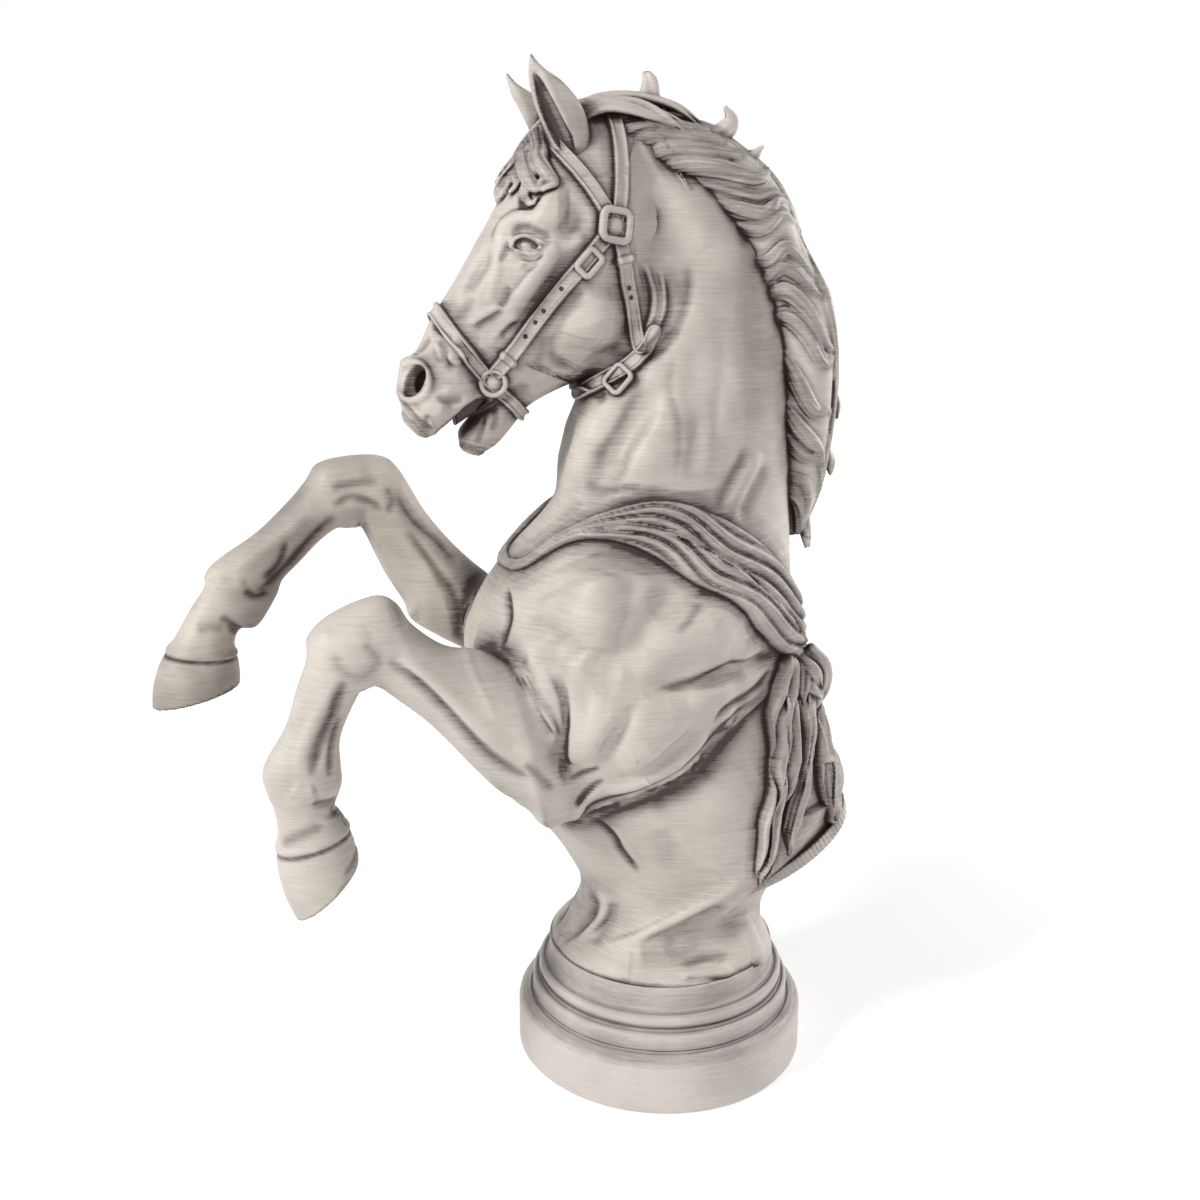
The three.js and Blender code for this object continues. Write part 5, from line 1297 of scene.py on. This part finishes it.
def turned(name, profile):
    """Turned tier of the base, with a point on either side of each corner to keep it crisp."""
    points = []
    for a, b in zip(profile, profile[1:]):
        near = min(CRISP / math.dist(a, b), 0.3)
        points += [(a[0] + (b[0] - a[0]) * t, a[1] + (b[1] - a[1]) * t) for t in (near, 1 - near)]
    rings = np.array(points)
    rings = rings[rings[:, 0] > 0.01]
    angle = np.arange(SEGMENTS) * 2 * math.pi / SEGMENTS
    seam = bell(angle - SEAM, SEAM_WIDTH) * SEAM_HEIGHT
    slope = np.gradient(rings, axis=0)
    facing = np.column_stack([slope[:, 1], -slope[:, 0]])
    facing /= np.linalg.norm(facing, axis=1)[:, None]
    reach = rings[:, :1] + seam * np.abs(facing[:, :1])

    def around(radius, height, foot, top):
        grid = np.dstack([radius * np.cos(angle), radius * np.sin(angle), np.repeat(height, SEGMENTS, 1)])
        return np.vstack([grid.reshape(-1, 3), [0, 0, foot], [0, 0, top]])

    points = around(reach, rings[:, 1:], rings[0, 1], rings[-1, 1])
    normals = around(facing[:, :1], facing[:, 1:], -1, 1)
    index = np.arange(len(rings) * SEGMENTS).reshape(-1, SEGMENTS)
    after = np.roll(index, -1, 1)
    quads = [np.dstack([index[:-1], after[:-1], after[1:], index[1:]]).reshape(-1, 4)]
    fans = (index.size, index[0], (0, 3, 2, 1)), (index.size + 1, index[-1], (0, 1, 2, 3))
    for centre, ring, order in fans:
        fan = [np.full(SEGMENTS // 2, centre), ring[::2], ring[1::2], np.roll(ring, -2)[::2]]
        quads.append(np.column_stack([fan[i] for i in order]))
    pieces.append(("print_" + name, [name], "base_print", "base", points, np.vstack(quads), normals, 0.0))


block = Clay((-34, -34, -26), (34, 34, 1.5), 0.8)
for name, profile in TURNED.items():
    profile = pairs(profile)
    turned(name, profile)
    wide, foot, top = max(p[0] for p in profile), profile[0][1], profile[-1][1]
    tier = np.maximum(np.hypot(block.x, block.y) - wide, np.maximum(foot - block.z, block.z - top))
    block.f = np.minimum(block.f, tier).astype(np.float32)
fields.append((block, block.f))

# Looks


def plug(socket, value):
    """Sets a socket to a value, or links it to a socket or to a node's first output."""
    if isinstance(value, bpy.types.Node):
        value = value.outputs[0]
    if isinstance(value, bpy.types.NodeSocket):
        socket.id_data.links.new(value, socket)
    else:
        socket.default_value = value


def add_node(tree, kind, *inputs, **values):
    """Adds a node, with its first inputs in order, and sockets and settings by name."""
    made = tree.nodes.new("ShaderNode" + kind)
    for key, value in values.items():
        if key in made.inputs:
            plug(made.inputs[key], value)
        else:
            setattr(made, key, value)
    for socket, value in zip(made.inputs, inputs):
        plug(socket, value)
    return made


def new_material(name):
    """A material, its node tree and the inputs of its surface."""
    material = bpy.data.materials.new(name)
    material.use_nodes = True
    return material, material.node_tree, material.node_tree.nodes["Principled BSDF"].inputs


LAYER_STRETCH, STREAK_STRETCH = (260, 260, 3600), (150, 150, 3200)


def shade(name, light, dark, wash_and_shade_gain, patina=0.06, mottle=0.35):
    """Printed plastic under a dark wash: fine print layers, streaks, and wash and painted shade in the
    hollows.
    """
    material, tree, surface = new_material(name)
    place = add_node(tree, "TexCoord").outputs["Object"]

    def noise(scale, detail, roughness, stretch=None):
        at = add_node(tree, "Mapping", place, Scale=stretch) if stretch else place
        return add_node(tree, "TexNoise", at, Scale=scale, Detail=detail, Roughness=roughness)

    def combine(operation, a, b):
        return add_node(tree, "Math", a, b, operation=operation)

    def times(a, b):
        return combine("MULTIPLY", a, b)

    def plus(a, b):
        return combine("ADD", a, b)

    layers = noise(1.0, 3.0, 0.6, LAYER_STRETCH)
    cloud = noise(90.0, 5.0, 0.6)
    streaks = noise(1.0, 4.0, 0.65, STREAK_STRETCH)
    patches = noise(38.0, 3.0, 0.55)
    # The wash attribute is painted shade in the hollows together with the dark wash
    wash = add_node(tree, "Attribute", attribute_name="wash").outputs["Fac"]
    uneven = plus(times(streaks, 0.55), times(cloud, 0.45))
    grain = times(combine("SUBTRACT", uneven, 0.5), 0.7)
    patch = times(combine("SUBTRACT", patches, 0.5), mottle)
    darkness = plus(times(times(wash, times(uneven, 2.0)), wash_and_shade_gain), plus(patch, patina))
    ramp = add_node(tree, "ValToRGB", plus(darkness, grain))
    ramp.color_ramp.elements.new(0.4)
    for stop, share in zip(ramp.color_ramp.elements, (0.0, 0.5, 1.0)):
        stop.color = (*[a * (1 - share) + b * share for a, b in zip(light, dark)], 1)
    plug(surface["Base Color"], ramp)
    plug(surface["Specular IOR Level"], 0.4)
    plug(surface["Roughness"], plus(times(cloud, 0.2), 0.42))
    plug(surface["Normal"], add_node(tree, "Bump", Strength=0.6, Distance=0.00015, Height=layers))
    return material


BROWN, BONE, STRAP = (0.04, 0.026, 0.022), (0.58, 0.53, 0.475), (0.57, 0.52, 0.47)
LOOKS = {
    "body": shade("bone_print", BONE, BROWN, 1.8),
    "far": shade("grimy_print", (0.54, 0.485, 0.425), BROWN, 2.0, 0.2, 1.3),
    "hair": shade("hair_print", BONE, (0.035, 0.022, 0.02), 1.25, 0.0),
    "halter": shade("halter_print", STRAP, BROWN, 1.4),
    "cloth": shade("cloth_print", STRAP, BROWN, 1.4),
    "base": shade("base_print", (0.60, 0.55, 0.51), (0.06, 0.045, 0.04), 0.3),
}
# Painted shade: hollows up to 8.5 mm wide darken in the colour, as ambient occlusion would, besides the wash
# in narrow ones
OCCLUSION = ((0.6, 0.3), (1.4, 0.3), (3.0, 0.3), (6.0, 0.2), (8.5, 0.15))  # distance and weight
MOST_WASH_AND_SHADE = 1.4


def occlusion(points, normals):
    """How far each point lies in a hollow, from the fields of all the pieces round it: painted shade in wide
    hollows, and the wash that gathers in narrow ones.
    """
    total = np.zeros(len(points))
    for distance, weight in OCCLUSION:
        away = points + normals * distance
        free = np.full(len(points), distance)
        for clay, f in fields:
            high = np.array([a[-1] for a in clay.axes])
            inside = np.nonzero(np.all((away > clay.low) & (away < high), axis=1))[0]
            if len(inside):
                free[inside] = np.minimum(free[inside], clay.sample(away[inside], f))
        total += weight * np.clip((distance - free) / distance, 0, 1.5)
    return total


def link(name, data):
    """Puts an object with this data into the scene."""
    made = bpy.data.objects.new(name, data)
    bpy.context.scene.collection.objects.link(made)
    return made


for name, nodes, slot, look, points, quads, normals, stain in pieces:
    mesh = bpy.data.meshes.new(name)
    mesh.vertices.add(len(points))
    mesh.vertices.foreach_set("co", ((points + (0, 0, STAND)) * MM).astype(np.float32).ravel())
    mesh.loops.add(4 * len(quads))
    mesh.loops.foreach_set("vertex_index", quads.astype(np.int32).ravel())
    mesh.polygons.add(len(quads))
    mesh.polygons.foreach_set("loop_start", np.arange(0, 4 * len(quads), 4, dtype=np.int32))
    mesh.update(calc_edges=True)
    mesh.validate()
    mesh.polygons.foreach_set("use_smooth", np.ones(len(mesh.polygons), bool))
    mesh.normals_split_custom_set_from_vertices(normals.astype(np.float32))
    # The wash attribute holds painted shade from the occlusion in hollows, together with the dark wash along
    # the creases
    wash = np.clip(occlusion(points, normals) + stain, 0, MOST_WASH_AND_SHADE)
    mesh.attributes.new("wash", "FLOAT", "POINT").data.foreach_set("value", wash.astype(np.float32))
    mesh.materials.append(LOOKS[look])
    made = link(name, mesh)
    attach(made, "root")
    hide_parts(*nodes)

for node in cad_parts.values():
    node.data.materials.clear()
    node.data.materials.append(LOOKS["base"])

# Floor, light and camera

FLOOR_SIZE, FLOOR_Z = 6.0, -0.0002
AMBIENT = 0.2
GLOW = (0.12, 0.7, 0.35, 0.85)  # of the floor: from and to a distance, from and to a strength

mesh = bpy.data.meshes.new("floor")
mesh.from_pydata([(x * FLOOR_SIZE, y * FLOOR_SIZE, FLOOR_Z) for x, y in ((-1, -1), (1, -1), (1, 1), (-1, 1))],
                 [], [(0, 1, 2, 3)])
floor = link("floor", mesh)


def seen(tree):
    """1 where the camera sees a surface itself, in a mirror or through glass; 0 for its light on others."""
    path = add_node(tree, "LightPath").outputs
    mirrors = add_node(tree, "Math", path["Is Camera Ray"], path["Is Glossy Ray"], operation="MAXIMUM")
    return add_node(tree, "Math", mirrors, path["Is Transmission Ray"], operation="MAXIMUM")


paper, tree, surface = new_material("paper")
place = add_node(tree, "TexCoord").outputs["Object"]
away = add_node(tree, "VectorMath", place, operation="LENGTH").outputs["Value"]
fading = add_node(tree, "MapRange", away, *GLOW)
plug(surface["Base Color"], (0.92, 0.92, 0.92, 1))
plug(surface["Roughness"], 0.9)
plug(surface["Emission Color"], (1, 1, 1, 1))
plug(surface["Emission Strength"], add_node(tree, "Math", seen(tree), fading, operation="MULTIPLY"))
mesh.materials.append(paper)

world = bpy.data.worlds.new("studio")
bpy.context.scene.world = world
world.use_nodes = True
tree = world.node_tree
background = tree.nodes["Background"].inputs
plug(background["Color"], (1, 1, 1, 1))
plug(background["Strength"], add_node(tree, "MapRange", seen(tree), 0.0, 1.0, AMBIENT, 1.0))


def lamp(name, place, target, size, power):
    """Round soft lamp that points at a target."""
    data = bpy.data.lights.new(name, "AREA")
    data.shape, data.size, data.energy = "DISK", size, power
    made = link(name, data)
    made.location = place
    made.rotation_mode = "QUATERNION"
    made.rotation_quaternion = (Vector(target) - Vector(place)).to_track_quat("-Z", "Y")


lamp("key", (-0.68, -0.24, 0.56), (0, 0, 0.11), 0.22, 6.0)
lamp("fill", (0.1, -0.9, 0.25), (0, 0, 0.11), 0.5, 2.2)
lamp("rim", (0.62, 0.12, 0.3), (0, 0, 0.12), 0.25, 3.0)

camera = bpy.data.cameras.new("camera")
camera.sensor_width = 36
camera.lens = FOCAL / IMAGE * camera.sensor_width
camera.clip_start, camera.clip_end = 0.01, 50
eye = link("camera", camera)
bpy.context.scene.camera = eye
ahead = sight(IMAGE / 2, IMAGE / 2)
right = sight(IMAGE / 2 + 1, IMAGE / 2) - ahead
ahead, right = ahead / np.linalg.norm(ahead), right / np.linalg.norm(right)
turn = Matrix((right, np.cross(right, ahead), -ahead)).transposed().to_4x4()
turn.translation = (CAMERA + (0, 0, STAND)) * MM
eye.matrix_world = turn

bpy.context.scene.view_settings.view_transform = "Standard"
